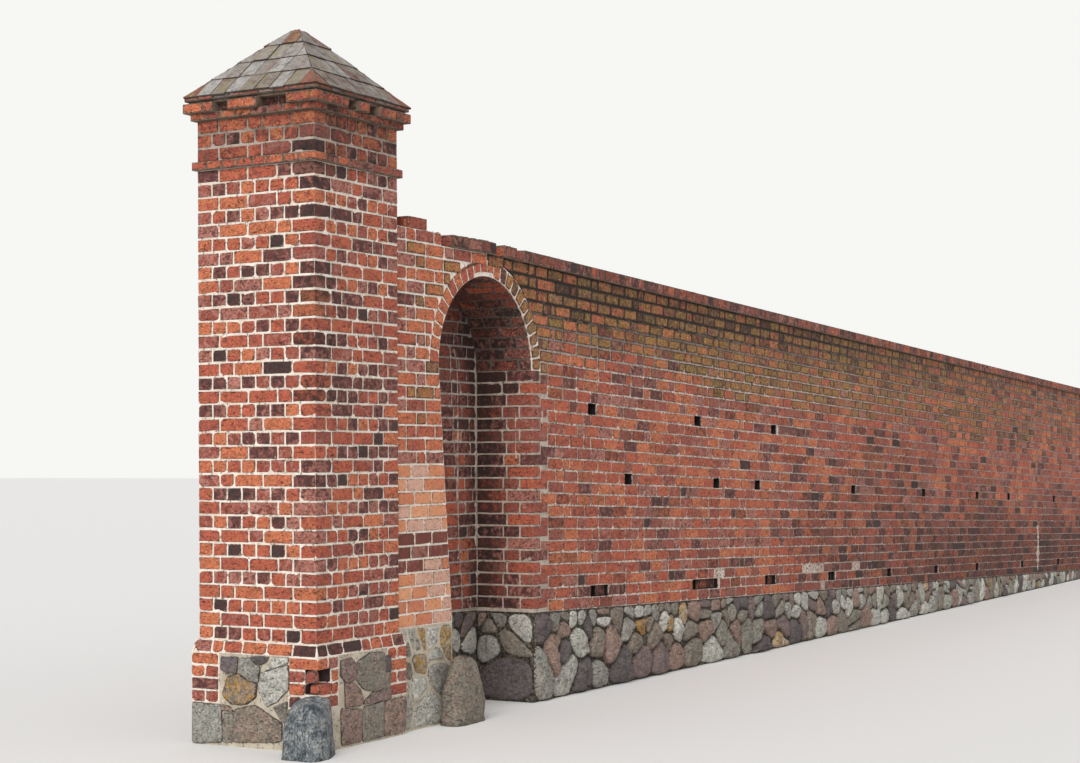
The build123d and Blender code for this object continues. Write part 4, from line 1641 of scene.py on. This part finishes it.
    def inside(self) -> None:
        """Lay the niche's back wall and its far reveal, whose bricks turn onto the street face."""
        work, dice = begin(self.seed + 4)
        work.shade = self.corner_soot_and_shade
        for number in range(self.inner_courses):
            low, rise = LINES.base + number * WALL_COURSE, rise_of(LINES.base, number)
            above = sum(rise) / 2 - LINES.springing
            reach = LINES.radius if above < 0 else math.sqrt(max(0.0, LINES.radius ** 2 - above ** 2))
            start = self.jamb.station(rise[0]) if above < 0 else LINES.centre - reach
            pattern = (HEADER, STRETCHER, STRETCHER) if number % 2 else (STRETCHER, HEADER)
            for span in lay(start, LINES.centre + reach, pattern, dice):
                # Back-wall bricks darken upwards under the arch: painted shade
                soot = 0.02 + 0.40 * smooth(2.2, 3.2, low) + 0.12 * dice.random()
                lime = 0.62 if low > 2.45 and dice.random() < 0.5 else 0.0
                work.brick(self.rear, span, rise, Wear(pick(dice, NICHE_CLAY), soot=soot, lime=lime))
            if rise[1] >= LINES.springing + 0.02:
                continue
            turn = 0.125 if number % 2 else 0.25
            held = self.depth - self.turned + turn
            for span in [*lay(0.004, held, (STRETCHER, STRETCHER), dice),
                    (held + JOINT / 2, self.depth + turn - JOINT / 2)]:
                inner = span[1] < self.depth
                crusted = inner and number > self.limed_above
                # Reveal bricks inside the niche are darker than those on the street: painted shade
                wear = Wear(pick(dice, NICHE_CLAY if inner else JAMB_CLAY),
                    soot=(0.20 if inner else 0.12) + 0.26 * crusted, lime=0.72 * crusted)
                work.brick(self.reveal, span, rise, wear, self.reveal.corners())
        work.piece("niche_brickwork", "old_brick", self.bricks)

    def smears(self) -> None:
        """Smear mortar where the photograph shows runs and blots of it."""
        work, _ = begin(self.seed + 5)
        work.ridge(self.rear, *self.rear_run, 0.007)
        work.ridge(self.rear, ((self.right - 0.016, 2.95), (self.right - 0.016, 1.30)), 0.04, 0.008)
        for path, width in self.reveal_runs:
            work.ridge(self.reveal, path, width, 0.0062)
        for degrees, size in self.arch_blots:
            arc = math.radians(180 - degrees) * LINES.radius
            work.ridge(self.arch_face, ((arc - size / 2, LINES.radius + 0.016),
                (arc + size / 2, LINES.radius + 0.018)), 0.028, 0.009)
        arc = math.radians(180 - 109) * LINES.radius
        work.ridge(self.arch_face, ((arc - 0.12, 0.83), (arc + 0.14, 0.83)), 0.022, 0.009)
        seam = LINES.bay1_end
        foot = LINES.level(seam, LINES.base) + 0.05
        work.ridge(self.street, ((seam, foot), (seam + 0.01, 0.98)), 0.15, 0.011)
        work.piece("mortar_smears", "lime_mortar", self.mortar, shaded=True)

    def build(self) -> None:
        """Build all of the niche."""
        for step in (self.patch, self.old_work, self.tops, self.far_spandrel, self.arch, self.inside,
                self.smears):
            step()


# ---------------------------------------------------------------- bays laid by Geometry Nodes


class Family(Enum):
    """Kinds of brick that the bays are laid with, by their place in the set of bricks."""

    HEADER = 0
    STRETCHER = 1


@dataclass
class Laid:
    """One brick to be laid by the tree: its middle, its size, the way it faces and its marks."""

    place: Vector
    size: Span
    turn: tuple[float, float, float]
    family: Family
    tone: float
    lichen: float
    soot: float
    proud: float = 1.0


@dataclass
class BrickLayer:
    """Lays bricks at points: a Geometry Nodes tree with its set of worn bricks."""

    material: Material
    variants: int = 7
    faces: dict[Family, Span] = field(default_factory=lambda: {
        Family.HEADER: (0.124, 0.093), Family.STRETCHER: (0.254, 0.093)})
    tilt: float = 0.010
    seed: int = 71
    made: list[Object] = field(default_factory=list)

    def brick_set(self) -> Collection:
        """Make the worn bricks that the tree picks from, headers first."""
        dice = random.Random(self.seed)
        found = bpy.data.collections.new("worn_bricks")
        for family, (length, height) in self.faces.items():
            for number in range(self.variants):
                work = Masonry(dice)
                work.brick(upright(0.0), (-length / 2, length / 2), (-height / 2, height / 2),
                    Wear(0.0, chips=1.2))
                brick = bpy.data.objects.new(f"brick_{family.value}_{number:02d}",
                    work.mesh("worn_brick", (Mark.RIM,)))
                found.objects.link(brick)
                self.made.append(brick)
        return found

    def tree(self) -> NodeTree:
        """Make the tree that sets a worn brick on each point, turned, sized and tilted a little."""
        tree = bpy.data.node_groups.new("lay_bricks", "GeometryNodeTree")
        sockets = (("Geometry", "NodeSocketGeometry"), ("Bricks", "NodeSocketCollection"),
            ("Variants", "NodeSocketInt"), ("Tilt", "NodeSocketFloat"), ("Seed", "NodeSocketInt"),
            ("Finish", "NodeSocketMaterial"))
        for label, kind in sockets:
            tree.interface.new_socket(label, in_out="INPUT", socket_type=kind)
        tree.interface.new_socket("Geometry", in_out="OUTPUT", socket_type="NodeSocketGeometry")
        add = partial(add_node, tree)
        given = add("NodeGroupInput").outputs
        family, turn, size = (
            add("GeometryNodeInputNamedAttribute", {"Name": name}, data_type=kind)
            for name, kind in (("family", "INT"), ("turn", "FLOAT_VECTOR"), ("fit", "FLOAT_VECTOR")))
        last = add("Math", (given["Variants"], 1.0), operation="SUBTRACT")
        choice = add("FunctionNodeRandomValue", {"Seed": given["Seed"], 4: 0, 5: last}, data_type="INT")
        index = add("Math", (family, given["Variants"], choice), operation="MULTIPLY_ADD")
        low = add("Math", (given["Tilt"], -1.0), operation="MULTIPLY")
        wobble = add("FunctionNodeRandomValue", {0: low, 1: given["Tilt"], "Seed": given["Seed"]},
            data_type="FLOAT_VECTOR")
        facing = add("VectorMath", (turn, wobble), operation="ADD")
        bricks = add("GeometryNodeCollectionInfo", {"Collection": given["Bricks"], "Separate Children": True,
            "Reset Children": True})
        laid = add("GeometryNodeInstanceOnPoints", {"Points": given["Geometry"], "Instance": bricks,
            "Pick Instance": True, "Instance Index": index, "Scale": size,
            "Rotation": add("FunctionNodeEulerToRotation", (facing,))})
        real = add("GeometryNodeRealizeInstances", (laid,))
        add("NodeGroupOutput", (add("GeometryNodeSetMaterial", {0: real, "Material": given["Finish"]}),))
        return tree

    def start(self) -> None:
        """Make the tree and the set of bricks."""
        self.bricks, self.group = self.brick_set(), self.tree()

    def lay(self, name: str, slot: str, bricks: Sequence[Laid], seed: int) -> Object:
        """Lay bricks at their places and bake them into one piece.

        Args:
            name: The piece's name.
            slot: Not used.
            bricks: The bricks.
            seed: The tree's seed.

        Returns:
            The piece.
        """
        points = bpy.data.meshes.new(name + "_points")
        points.from_pydata([b.place for b in bricks], [], [])
        fits = [(b.size[0] / self.faces[b.family][0], b.proud, b.size[1] / self.faces[b.family][1])
            for b in bricks]
        store(points, {"fit": [c for fit in fits for c in fit], "turn": [c for b in bricks for c in b.turn]},
            "FLOAT_VECTOR")
        store(points, {"family": [b.family.value for b in bricks]}, "INT")
        store(points, {m.value: [getattr(b, m.value) for b in bricks] for m in Mark if m is not Mark.RIM})
        carrier = bpy.data.objects.new(name + "_carrier", points)
        bpy.context.scene.collection.objects.link(carrier)
        modifier = carrier.modifiers.new("lay_bricks", "NODES")
        modifier.node_group = self.group
        values = {"Bricks": self.bricks, "Variants": self.variants, "Tilt": self.tilt, "Seed": seed,
            "Finish": self.material}
        for item in self.group.interface.items_tree:
            if item.item_type == "SOCKET" and item.in_out == "INPUT" and item.name in values:
                modifier[item.identifier] = values[item.name]
        baked = bpy.data.meshes.new_from_object(carrier.evaluated_get(bpy.context.evaluated_depsgraph_get()))
        baked.name = name
        carrier.modifiers.clear()
        bpy.data.objects.remove(carrier)
        for spare in ("fit", "turn", "family"):
            if spare in baked.attributes:
                baked.attributes.remove(baked.attributes[spare])
        return place_piece(name, baked, self.material)

    def finish(self) -> None:
        """Take the set of bricks away again."""
        for brick in self.made:
            bpy.data.objects.remove(brick)
        bpy.data.collections.remove(self.bricks)


@dataclass
class Bays:
    """The long run of brickwork: its street face, its back, its end and its coping."""

    layer: BrickLayer
    seed: int = 91
    putlog_rows: tuple[int, ...] = (1, 11, 17)
    joint: float = 0.008
    pocket_face: float = 0.045
    longest_header: float = 0.17
    eroded: Span = (5.5, 11.0)       # where the street's lowest courses are worn back

    def gaps(self, street: bool, near: float, far: float) -> dict[int, list[Span]]:
        """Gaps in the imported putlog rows.

        Args:
            street: Whether those of the street side are meant.
            near: Least depth from the face.
            far: Greatest depth.

        Returns:
            Start and end of each, by course.
        """
        found: dict[int, list[Span]] = {}
        side, face = ("street", LINES.front) if street else ("back", LINES.back)
        for bay in ("bay1", "bay2"):
            stations: dict[int, set[float]] = {}
            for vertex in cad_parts[f"{bay}_{side}_putlog_rows"].data.vertices:
                x, y, z = vertex.co
                if near < abs(y - face) < far:
                    level = (z - LINES.level(x, LINES.base)) / WALL_COURSE
                    stations.setdefault(math.floor(level + 0.5), set()).add(round(x, 4))
            for course in self.putlog_rows:
                edges = sorted(stations.get(course, ()))
                if near > 0.1:
                    edges = edges[1:-1]
                found.setdefault(course, []).extend(zip(edges[::2], edges[1::2]))
        return found

    def course(self, number: int, dice: random.Random, street: bool) -> list[Span]:
        """Bricks of one course of both bays, mostly stretchers.

        Args:
            number: The course.
            dice: The source of chance.
            street: Whether it lies on the street side.

        Returns:
            Their spans.
        """
        start = LINES.start + 0.004
        if street:
            start = LINES.far_end + (0.13 if number % 2 else 0.0)
            if number < OVER_ARCH:
                start = LINES.centre + LINES.radius + (0.13 if number % 2 else 0.26)
        pattern = dice.choice(((STRETCHER, STRETCHER, STRETCHER, HEADER),
            (STRETCHER, STRETCHER, HEADER, STRETCHER), (HEADER, STRETCHER, STRETCHER),
            (STRETCHER, HEADER, STRETCHER, STRETCHER, STRETCHER)))
        return [s for low, high in self.stretches(start) for s in lay(low, high, pattern, dice, self.joint)]

    @staticmethod
    def stretches(start: float) -> tuple[Span, Span]:
        """The two bays, from where the first is to start, without the straight joint between them."""
        return (start, LINES.bay1_end - 0.004), (LINES.bay1_end + 0.006, LINES.wall_end)

    def family(self, length: float) -> Family:
        """The kind of brick for a length."""
        return Family.HEADER if length < self.longest_header else Family.STRETCHER

    def tone(self, dice: random.Random, place: Vector) -> float:
        """Colour of a wall brick: duller low down and far along."""
        height = (place.z - LINES.level(place.x, LINES.base)) / (LINES.top - LINES.base)
        dull = 0.45 * (1 - smooth(0.15, 0.5, height)) + 0.40 * smooth(5.0, 16.0, place.x)
        dull += 0.25 * drift(place, 1.7, 1.0)
        return pick(dice, LOW_CLAY if dice.random() < dull else WALL_CLAY)

    def face(self, street: bool) -> list[Laid]:
        """Bricks of the street face or of the back."""
        dice = random.Random(self.seed + (0 if street else 1))
        y, turn, fall = (LINES.front, 0.0, LINES.fall) if street else (LINES.back, math.pi, -LINES.fall)
        holes = self.gaps(street, 0.2, 0.3)
        pockets = self.gaps(street, 0.01, 0.2) if street else {}
        found: list[Laid] = []

        def set_brick(span: Span, number: int, depth: float, dark: float, proud: float) -> None:
            """Set one brick of the course.

            Args:
                span: Where it lies.
                number: Its course.
                depth: How far its face is sunk.
                dark: Painted shade on it, where it is sunk in a pocket.
                proud: How far it stands out, as a share.
            """
            middle, length = sum(span) / 2, span[1] - span[0]
            low = LINES.level(middle, LINES.base + number * WALL_COURSE)
            place = Vector((middle, y + depth, low + WALL_COURSE / 2 + dice.uniform(-0.002, 0.002)))
            lichen, soot = wall_weather(place)
            lost = 0.004 * smooth(19, 22, number) * (1 - smooth(5.0, 14.0, middle))
            tall = WALL_COURSE - self.joint * 1.1 - lost + dice.uniform(-0.003, 0.002)
            lean = fall if middle >= LINES.centre else 0.0
            found.append(Laid(place, (length - lost, tall), (0.0, lean, turn), self.family(length),
                self.tone(dice, place), lichen * dice.uniform(0.64, 1.25),
                soot + dark + 0.45 * dice.random() ** 5, proud))

        for number in range(COURSES):
            cut = sorted([*holes.get(number, ()), *pockets.get(number, ())])
            for span in cut_spans(self.course(number, dice, street), cut):
                worn = street and number <= 2 and self.eroded[0] < sum(span) / 2 < self.eroded[1]
                if worn and dice.random() < 0.08:
                    continue
                proud = 0.3 if worn and dice.random() < 0.4 else dice.uniform(0.7, 1.3)
                set_brick(span, number, 0.0, 0.0, proud)
            for a, b in pockets.get(number, ()):
                for span in lay(a, b, (STRETCHER,), dice, self.joint):
                    # Bricks sunk in pockets are darkened: painted shade
                    set_brick(span, number, self.pocket_face, 0.45, 1.0)
        return found

    def end(self) -> list[Laid]:
        """Bricks of the wall's plain far end."""
        dice = random.Random(self.seed + 2)
        found = []
        for number in range(COURSES):
            pattern = (STRETCHER, HEADER) if number % 2 else (HEADER, STRETCHER)
            for a, b in lay(LINES.front, LINES.back, pattern, dice, self.joint):
                place = Vector((LINES.wall_end, (a + b) / 2, LINES.far_base + (number + 0.5) * WALL_COURSE))
                lichen, soot = wall_weather(place)
                found.append(Laid(place, (b - a, WALL_COURSE - JOINT), (0.0, 0.0, math.pi / 2),
                    self.family(b - a), pick(dice, WALL_CLAY), lichen, soot))
        return found

    def coping(self) -> list[Laid]:
        """Headers of the coping's front and back, and bricks laid flat on its top."""
        dice = random.Random(self.seed + 3)
        height, rows = LINES.coping_top - LINES.top, 4
        wide = (LINES.coping_back - LINES.coping_front) / rows
        # Of each row: its place, its lift over the coping's foot, its size, the way it faces, lichen, soot
        kinds = [
            (LINES.coping_front, LINES.top, height / 2, height - 0.006, (0.0, LINES.fall, 0.0), 0.2, 0.4),
            (LINES.coping_back, LINES.top, height / 2, height - 0.006, (0.0, -LINES.fall, math.pi), 0.2, 0.4),
            *((LINES.coping_front + (row + 0.5) * wide, LINES.coping_top, 0.0, wide - JOINT,
                (-math.pi / 2, LINES.fall, 0.0), 0.35, 0.35) for row in range(rows)),
        ]
        found = []
        for start, end in self.stretches(LINES.coping_start):
            for y, level, lift, size, turn, lichen, soot in kinds:
                for a, b in lay(start, end, (HEADER,), dice):
                    place = Vector(((a + b) / 2, y, LINES.level((a + b) / 2, level) + lift))
                    found.append(Laid(place, (b - a, size), turn, Family.HEADER, pick(dice, LOW_CLAY),
                        lichen * dice.random(), dice.uniform(0.1, soot)))
        return found

    def build(self) -> None:
        """Lay all the brickwork of the bays."""
        for name, bricks in (("street", self.face(True)), ("back", self.face(False))):
            for bay, low, high in (("bay1", -9.0, LINES.bay1_end), ("bay2", LINES.bay1_end, 99.0)):
                chosen = [b for b in bricks if low <= b.place.x < high]
                self.layer.lay(f"{bay}_{name}_brickwork", "old_brick", chosen, self.seed + len(name))
        self.layer.lay("wall_end_brickwork", "old_brick", self.end(), self.seed + 5)
        self.layer.lay("coping_brickwork", "old_brick", self.coping(), self.seed + 6)


# ---------------------------------------------------------------- stone bases and loose stones

# Tiers of the wall's base: depth of their middle under its top, and how far apart stones are
WALL_TIERS = ((0.05, 0.16), (0.155, 0.23), (0.315, 0.33), (0.525, 0.40), (0.75, 0.42))
NEAR_TIERS = ((0.05, 0.17), (0.15, 0.22), (0.27, 0.20), (0.42, 0.28), (0.62, 0.26))
TIER_SIZES = (0.35, 0.65, 0.9, 1.0, 1.0)
# Stones low in the wall's base that the photograph shows next to the niche: X, Z, tone
SEEN_STONES = ((2.70, 0.63, 0.82), (2.85, 0.45, 0.56), (3.32, 0.47, 0.10), (3.92, 0.41, 0.60),
    (2.60, 0.30, 0.30))


@dataclass(frozen=True)
class Rubble:
    """How a band of fieldstones is laid."""

    bulge: float                     # how far a large stone stands out
    joint: float                     # half the joint between them
    tiers: tuple[Span, ...] = WALL_TIERS
    lichen: float = 0.0              # share of stones with ochre lichen
    seen: tuple[tuple[float, float, float], ...] = ()
    tones: tuple[float, ...] = (0.08, 0.14, 0.22, 0.3, 0.36, 0.42, 0.46, 0.58, 0.7, 0.85)
    streak: Span = (0.0, 0.0)        # where every stone has lichen
    stray: float = 0.26              # how far stones leave their tiers, as a share of their pitch
    round_off: Span = (0.20, 0.27)   # least and most rounding of their outlines


@dataclass
class StoneBase:
    """The fieldstone base of the wall, and the stones that stand on the ground before it."""

    stones: Material
    granite: Material
    bricks: Material
    seed: int = 131

    def band(self, work: Masonry, surface: Surface, ends: Span, heights: Span, rubble: Rubble) -> None:
        """Fill a band with stones, small ones at its top and larger ones below.

        Args:
            work: Where the stones go.
            surface: The face that they lie in.
            ends: Where the band starts and stops along the face.
            heights: Its height at both ends.
            rubble: How it is laid.
        """
        dice, (start, end) = work.dice, ends
        outline = [(start, 0.0), (end, 0.0), (end, heights[1]), (start, heights[0])]
        found = [(*seen, 1.0) for seen in rubble.seen]
        for big, (depth, pitch) in zip(TIER_SIZES, rubble.tiers):
            at = start + dice.uniform(0.2, 0.6) * pitch
            while at < end - 0.25 * pitch:
                top = heights[0] + (heights[1] - heights[0]) * (at - start) / (end - start)
                spot = (at + dice.uniform(-0.2, 0.2) * pitch,
                    top - depth + dice.uniform(-rubble.stray, rubble.stray) * pitch)
                if 0.03 < spot[1] < top - 0.03 and all(math.dist(spot, s[:2]) > 0.22 for s in rubble.seen):
                    found.append((*spot, dice.choice(rubble.tones), big))
                at += pitch * dice.uniform(0.72, 1.32)
        for (u, v, tone, big), shape in zip(found, cells([f[:2] for f in found], outline, 1.4)):
            crusted = (rubble.streak[0] < u < rubble.streak[1] and v > 0.2) or dice.random() < rubble.lichen
            wear = Wear(tone, 0.5 if crusted else 0.05 * dice.random(), 0.04 + 0.12 * dice.random())
            smaller = inset(shape, rubble.joint)
            if len(smaller) > 2:
                rough = rounded(smaller, dice.uniform(*rubble.round_off), 0.05, 0.012 * big, u * 7 + v)
                work.stone(surface, rough, rubble.bulge * big * dice.uniform(0.7, 1.15), wear)

    def base(self) -> None:
        """Fill the base of the bays, of the niche and of the jambs."""
        dice = random.Random(self.seed)
        right, deep = LINES.centre + LINES.radius, LINES.niche_back - LINES.front
        street, jamb, seam, end = upright(LINES.front), LINES.jamb_foot, LINES.bay1_end, LINES.wall_end
        rear = Flat(Vector((0.0, LINES.back, 0.0)), -SIDE, DEEP)
        top, low, far = LINES.base, LINES.level(LINES.bay1_end, LINES.base), LINES.far_base
        near = Rubble(0.016, 0.015, NEAR_TIERS, 0.06, (), (0.05, 0.08, 0.12, 0.18, 0.25, 0.3, 0.45),
            (1.07, 1.24), 0.5, (0.06, 0.2))
        for side, bands in (
            ("street", (
                (street, (LINES.start, jamb), (top, top), near),
                (Flat(Vector((jamb, LINES.front, 0.0)), DEEP, SIDE), (0.0, deep), (top, top),
                    Rubble(0.016, 0.012, NEAR_TIERS)),
                (upright(LINES.niche_back), (jamb, right), (top, top - 0.02), Rubble(0.022, 0.01)),
                (Flat(Vector((right, LINES.niche_back, 0.0)), -DEEP, -SIDE), (0.0, deep),
                    (top - 0.03, top - 0.03), Rubble(0.035, 0.009)),
                (street, (right, seam), (LINES.level(right, top), low),
                    Rubble(0.060, 0.010, lichen=0.05, seen=SEEN_STONES)),
                (street, (seam, end), (low, far), Rubble(0.045, 0.010)))),
            ("back", (
                (rear, (-seam, -0.64), (low, top - 0.01), Rubble(0.04, 0.009)),
                (rear, (-end, -seam), (far, low), Rubble(0.035, 0.009)),
                (Flat(Vector((end, LINES.front, 0.0)), DEEP, SIDE), (0.0, LINES.back - LINES.front),
                    (far, far), Rubble(0.02, 0.008, WALL_TIERS[:1])))),
        ):
            work = Masonry(dice)
            for surface, ends, heights, rubble in bands:
                self.band(work, surface, ends, heights, rubble)
            work.piece(f"{side}_fieldstones", "fieldstone", self.stones, shaded=True)

    def boulder(self, name: str, node: str, slot: str, material: Material, wear: Wear,
            square: float, rough: float, cuts: Sequence[tuple[Sequence[float], float]],
            taper: float) -> Object:
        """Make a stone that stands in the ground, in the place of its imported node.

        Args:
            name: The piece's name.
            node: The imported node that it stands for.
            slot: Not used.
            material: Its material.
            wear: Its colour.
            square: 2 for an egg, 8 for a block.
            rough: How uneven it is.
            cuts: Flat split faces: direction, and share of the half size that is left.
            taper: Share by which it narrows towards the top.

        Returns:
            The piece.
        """
        work, dice = begin(self.seed + len(name))
        low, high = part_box(node)
        size, middle = (high - low) / 2, (low + high) / 2
        middle.z, size.z = low.z, high.z - low.z
        shift = Vector((1.0, 1.0, 1.0)) * dice.uniform(0, 50)
        levels, segments, rings = 17, 36, []
        for j in range(levels):
            tilt, ring = math.pi / 2 * j / levels, []
            for k in range(segments):
                turn = 2 * math.pi * k / segments
                way = Vector((math.cos(turn) * math.cos(tilt), math.sin(turn) * math.cos(tilt),
                    math.sin(tilt)))
                reach = sum(abs(part) ** square for part in way) ** (-1 / square)
                for normal, left in cuts:
                    facing = way.dot(Vector(normal).normalized())
                    reach = min(reach, left / facing) if facing > 0.05 else reach
                spot = way * size * reach
                swell = sum(share * noise.noise((spot + shift) * pitch)
                    for share, pitch in ((1.0, 4), (0.5, 9), (0.28, 24)))
                spot *= min(1.0, max(0.6, 1 - 0.6 * rough + rough * swell))
                narrow = 1 - taper * max(0.0, spot.z) / size.z
                place = middle + Vector((spot.x * narrow, spot.y * narrow, spot.z))
                ring.append(work.put(place, wear))
            rings.append(ring)
        work.join(rings, closed=True)
        tip = sum((work.points[i] for i in rings[-1]), Vector()) / segments
        work.fan(rings[-1], work.put(tip + UP * 0.001, wear))
        work.faces.append(tuple(reversed(rings[0])))
        piece = work.piece(name, slot, material, shaded=True)
        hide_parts(node)
        return piece

    def build(self) -> None:
        """Build the bases, the two loose stones and the loose brick on the wall's top."""
        self.base()
        self.boulder("guard_stone_granite", "guard_stone", "granite", self.granite, Wear(0.5), 6.5, 0.08,
            (((-1.0, 0.2, 1.1), 1.22), ((-0.7, -1.0, 0.15), 1.27), ((0.5, -0.87, 0.1), 0.80)), 0.13)
        self.boulder("jamb_boulder_stone", "jamb_boulder", "fieldstone", self.stones, Wear(0.44, soot=0.10),
            3.2, 0.14, (((0.4, -0.9, 0.9), 1.15), ((-0.8, -0.2, 0.9), 1.14)), 0.03)
        work, _ = begin(self.seed + 1)
        work.block(*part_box("loose_brick"), Wear(0.36, 0.15, 0.2, 1.8, 0.003))
        work.piece("loose_brick_faces", "old_brick", self.bricks)


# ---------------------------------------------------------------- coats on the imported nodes


def coat_nodes() -> tuple[Material, Material, Material]:
    """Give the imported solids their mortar, as the bed that bricks and stones stand out of.

    Returns:
        The pier's pale mortar, the cap's dark bed and the duller mortar of the far jamb.
    """
    pale, grey = ("e9d7c6", "fff4e6"), ("cdb6a6", "fbe9dc")
    # The crust at the wall's top thins out along it
    wall = partial(MortarFinish, clean=grey, dark="261d13", dark_from=2.75, fall=LINES.fall - 0.04,
        spotted=0.5, hollow_shade_from=0.518, dull="876a5d")
    groups = (
        (MortarFinish("pale_pointing_mortar", pale, dark="7a6657", dark_from=3.95, spotted=0.15),
            "shaft frieze slope_course quoin_end_street quoin_end_back quoin_wall_street quoin_wall_back "
            "repair_patch near_stub spandrel_near near_top_course"),
        (MortarFinish("tile_bed_mortar", ("4a433d", "665e56"), dark="2a2521", spotted=0.4),
            "eave_tiles pyramid_cap"),
        (MortarFinish("jamb_mortar", ("b0a092", "d0c2b2"), dark="4a4038", dark_from=2.75, spotted=0.4),
            "far_jamb"),
        (MortarFinish("arch_mortar", pale, dark="7a6657", deep=LINES.front + 0.01, hole_shade="6b5e54",
            spotted=0.15), "arch_ring"),
        (MortarFinish("sooted_mortar", ("6b5748", "8a7361"), dark="2e2621", spotted=0.8),
            "string_course lower_cornice upper_cornice cap_bed coping_bay1 coping_bay2 coping_near_pieces"),
        (wall("wall_pointing_mortar", deep=LINES.front),
            "bay1_street_lifts bay1_street_putlog_rows bay2_street_lifts bay2_street_putlog_rows "
            "spandrel_far"),
        (wall("back_pointing_mortar", deep=LINES.back, deep_sign=-1.0),
            "bay1_back_lifts bay1_back_putlog_rows bay2_back_lifts bay2_back_putlog_rows bay1_core "
            "bay2_core"),
        (MortarFinish("niche_mortar", ("a3978d", "d3c8bc"), dark="332d28", dark_from=2.9, spotted=0.6),
            "niche_back_wall"),
        (MortarFinish("rubble_mortar", ("b9ad99", "d6cbb6"), dark="6a6152", spotted=0.3),
            "panel_end panel_street panel_back pier_core pier_foot_stones near_base"),
        (MortarFinish("earthy_mortar", ("3f382d", "7b7262"), dark="191510", spotted=0.8, hollow_shade_from=0.47),
            "niche_back_base far_jamb_base bay1_base bay2_base guard_stone jamb_boulder"),
    )
    made = []
    for finish, nodes in groups:
        made.append(finish.build())
        for node in nodes.split():
            coat(node, made[-1])
    return made[0], made[1], made[2]


# ---------------------------------------------------------------- camera, floor and light


@dataclass
class Studio:
    """A pale floor, soft light from the end side, and the camera where the photographer stood."""

    eye: tuple[float, float, float] = (-11.405, -8.465, 2.04)
    view: tuple[float, float] = (0.870, 0.492)
    focal: float = 1930.0            # in pixels of the 1080 x 763 photograph
    horizon: float = 458.0
    roll: float = -0.22              # degrees
    frame_size: tuple[int, int] = (1080, 763)
    sensor: float = 36.0

    def camera(self) -> None:
        """Stand the camera at the photograph's viewpoint."""
        lens = bpy.data.cameras.new("street_camera")
        wide, tall = self.frame_size
        lens.sensor_width = self.sensor
        lens.lens = self.focal * self.sensor / wide
        lens.shift_y = (self.horizon - tall / 2) / wide
        lens.clip_end = 400.0
        camera = bpy.data.objects.new("street_camera", lens)
        bpy.context.scene.collection.objects.link(camera)
        ahead = Vector((*self.view, 0.0)).normalized()
        turn = ahead.to_track_quat("-Z", "Y").to_matrix().to_4x4()
        roll = Matrix.Rotation(math.radians(self.roll), 4, "Z")
        camera.matrix_world = Matrix.Translation(self.eye) @ (turn @ roll)
        bpy.context.scene.camera = camera

    def light(self) -> None:
        """Light the wall softly, a little more from the side of the pier's end face."""
        sun = bpy.data.lights.new("soft_key", "SUN")
        sun.energy = 1.9
        sun.angle = math.radians(35)
        lamp = bpy.data.objects.new("soft_key", sun)
        lamp.rotation_euler = Vector((0.80, 0.30, -0.52)).to_track_quat("-Z", "Y").to_euler()
        bpy.context.scene.collection.objects.link(lamp)
        world = bpy.data.worlds.new("pale_studio")
        bpy.context.scene.world = world
        world.use_nodes = True
        tree = world.node_tree
        tree.nodes.clear()
        path = add_node(tree, "LightPath").outputs
        seen = add_node(tree, "Math", (path["Is Camera Ray"], path["Is Glossy Ray"]), operation="MAXIMUM")
        soft, plain = (
            add_node(tree, "Background", (linear(code), strength))
            for code, strength in (("f2f2f4", 0.62), ("f7f7f4", 1.0)))
        add_node(tree, "OutputWorld", (add_node(tree, "MixShader", (seen, soft, plain)),))

    def floor(self) -> None:
        """Lay the plain pale floor."""
        mesh = bpy.data.meshes.new("studio_floor")
        mesh.from_pydata([(-150, -150, 0), (150, -150, 0), (150, 150, 0), (-150, 150, 0)], [], [(0, 1, 2, 3)])
        floor = bpy.data.objects.new("studio_floor", mesh)
        bpy.context.scene.collection.objects.link(floor)
        material = bpy.data.materials.new("pale_floor")
        material.use_nodes = True
        shader = material.node_tree.nodes["Principled BSDF"]
        shader.inputs["Base Color"].default_value = linear("f4f3f0")
        shader.inputs["Roughness"].default_value = 0.95
        mesh.materials.append(material)

    def build(self) -> None:
        """Set up the studio."""
        self.camera()
        self.light()
        self.floor()
        bpy.context.scene.view_settings.view_transform = "Standard"


def main() -> None:
    """Build the whole scene."""
    logging.basicConfig(level=logging.INFO, format="%(name)s: %(message)s")
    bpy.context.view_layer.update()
    Studio().build()
    old_brick, repair = OLD_BRICK.build(), REPAIR_BRICK.build()
    fieldstone, granite, tile = FIELDSTONE.build(), GRANITE.build(), CAP_TILE.build()
    pale, bed, dull = coat_nodes()
    coat("loose_brick", old_brick)
    Pier(old_brick, fieldstone).build()
    Cap(tile, pale, bed).build()
    Niche(old_brick, repair, dull).build()
    layer = BrickLayer(old_brick)
    layer.start()
    Bays(layer).build()
    layer.finish()
    StoneBase(fieldstone, granite, old_brick).build()


if __name__ == "__main__":
    main()
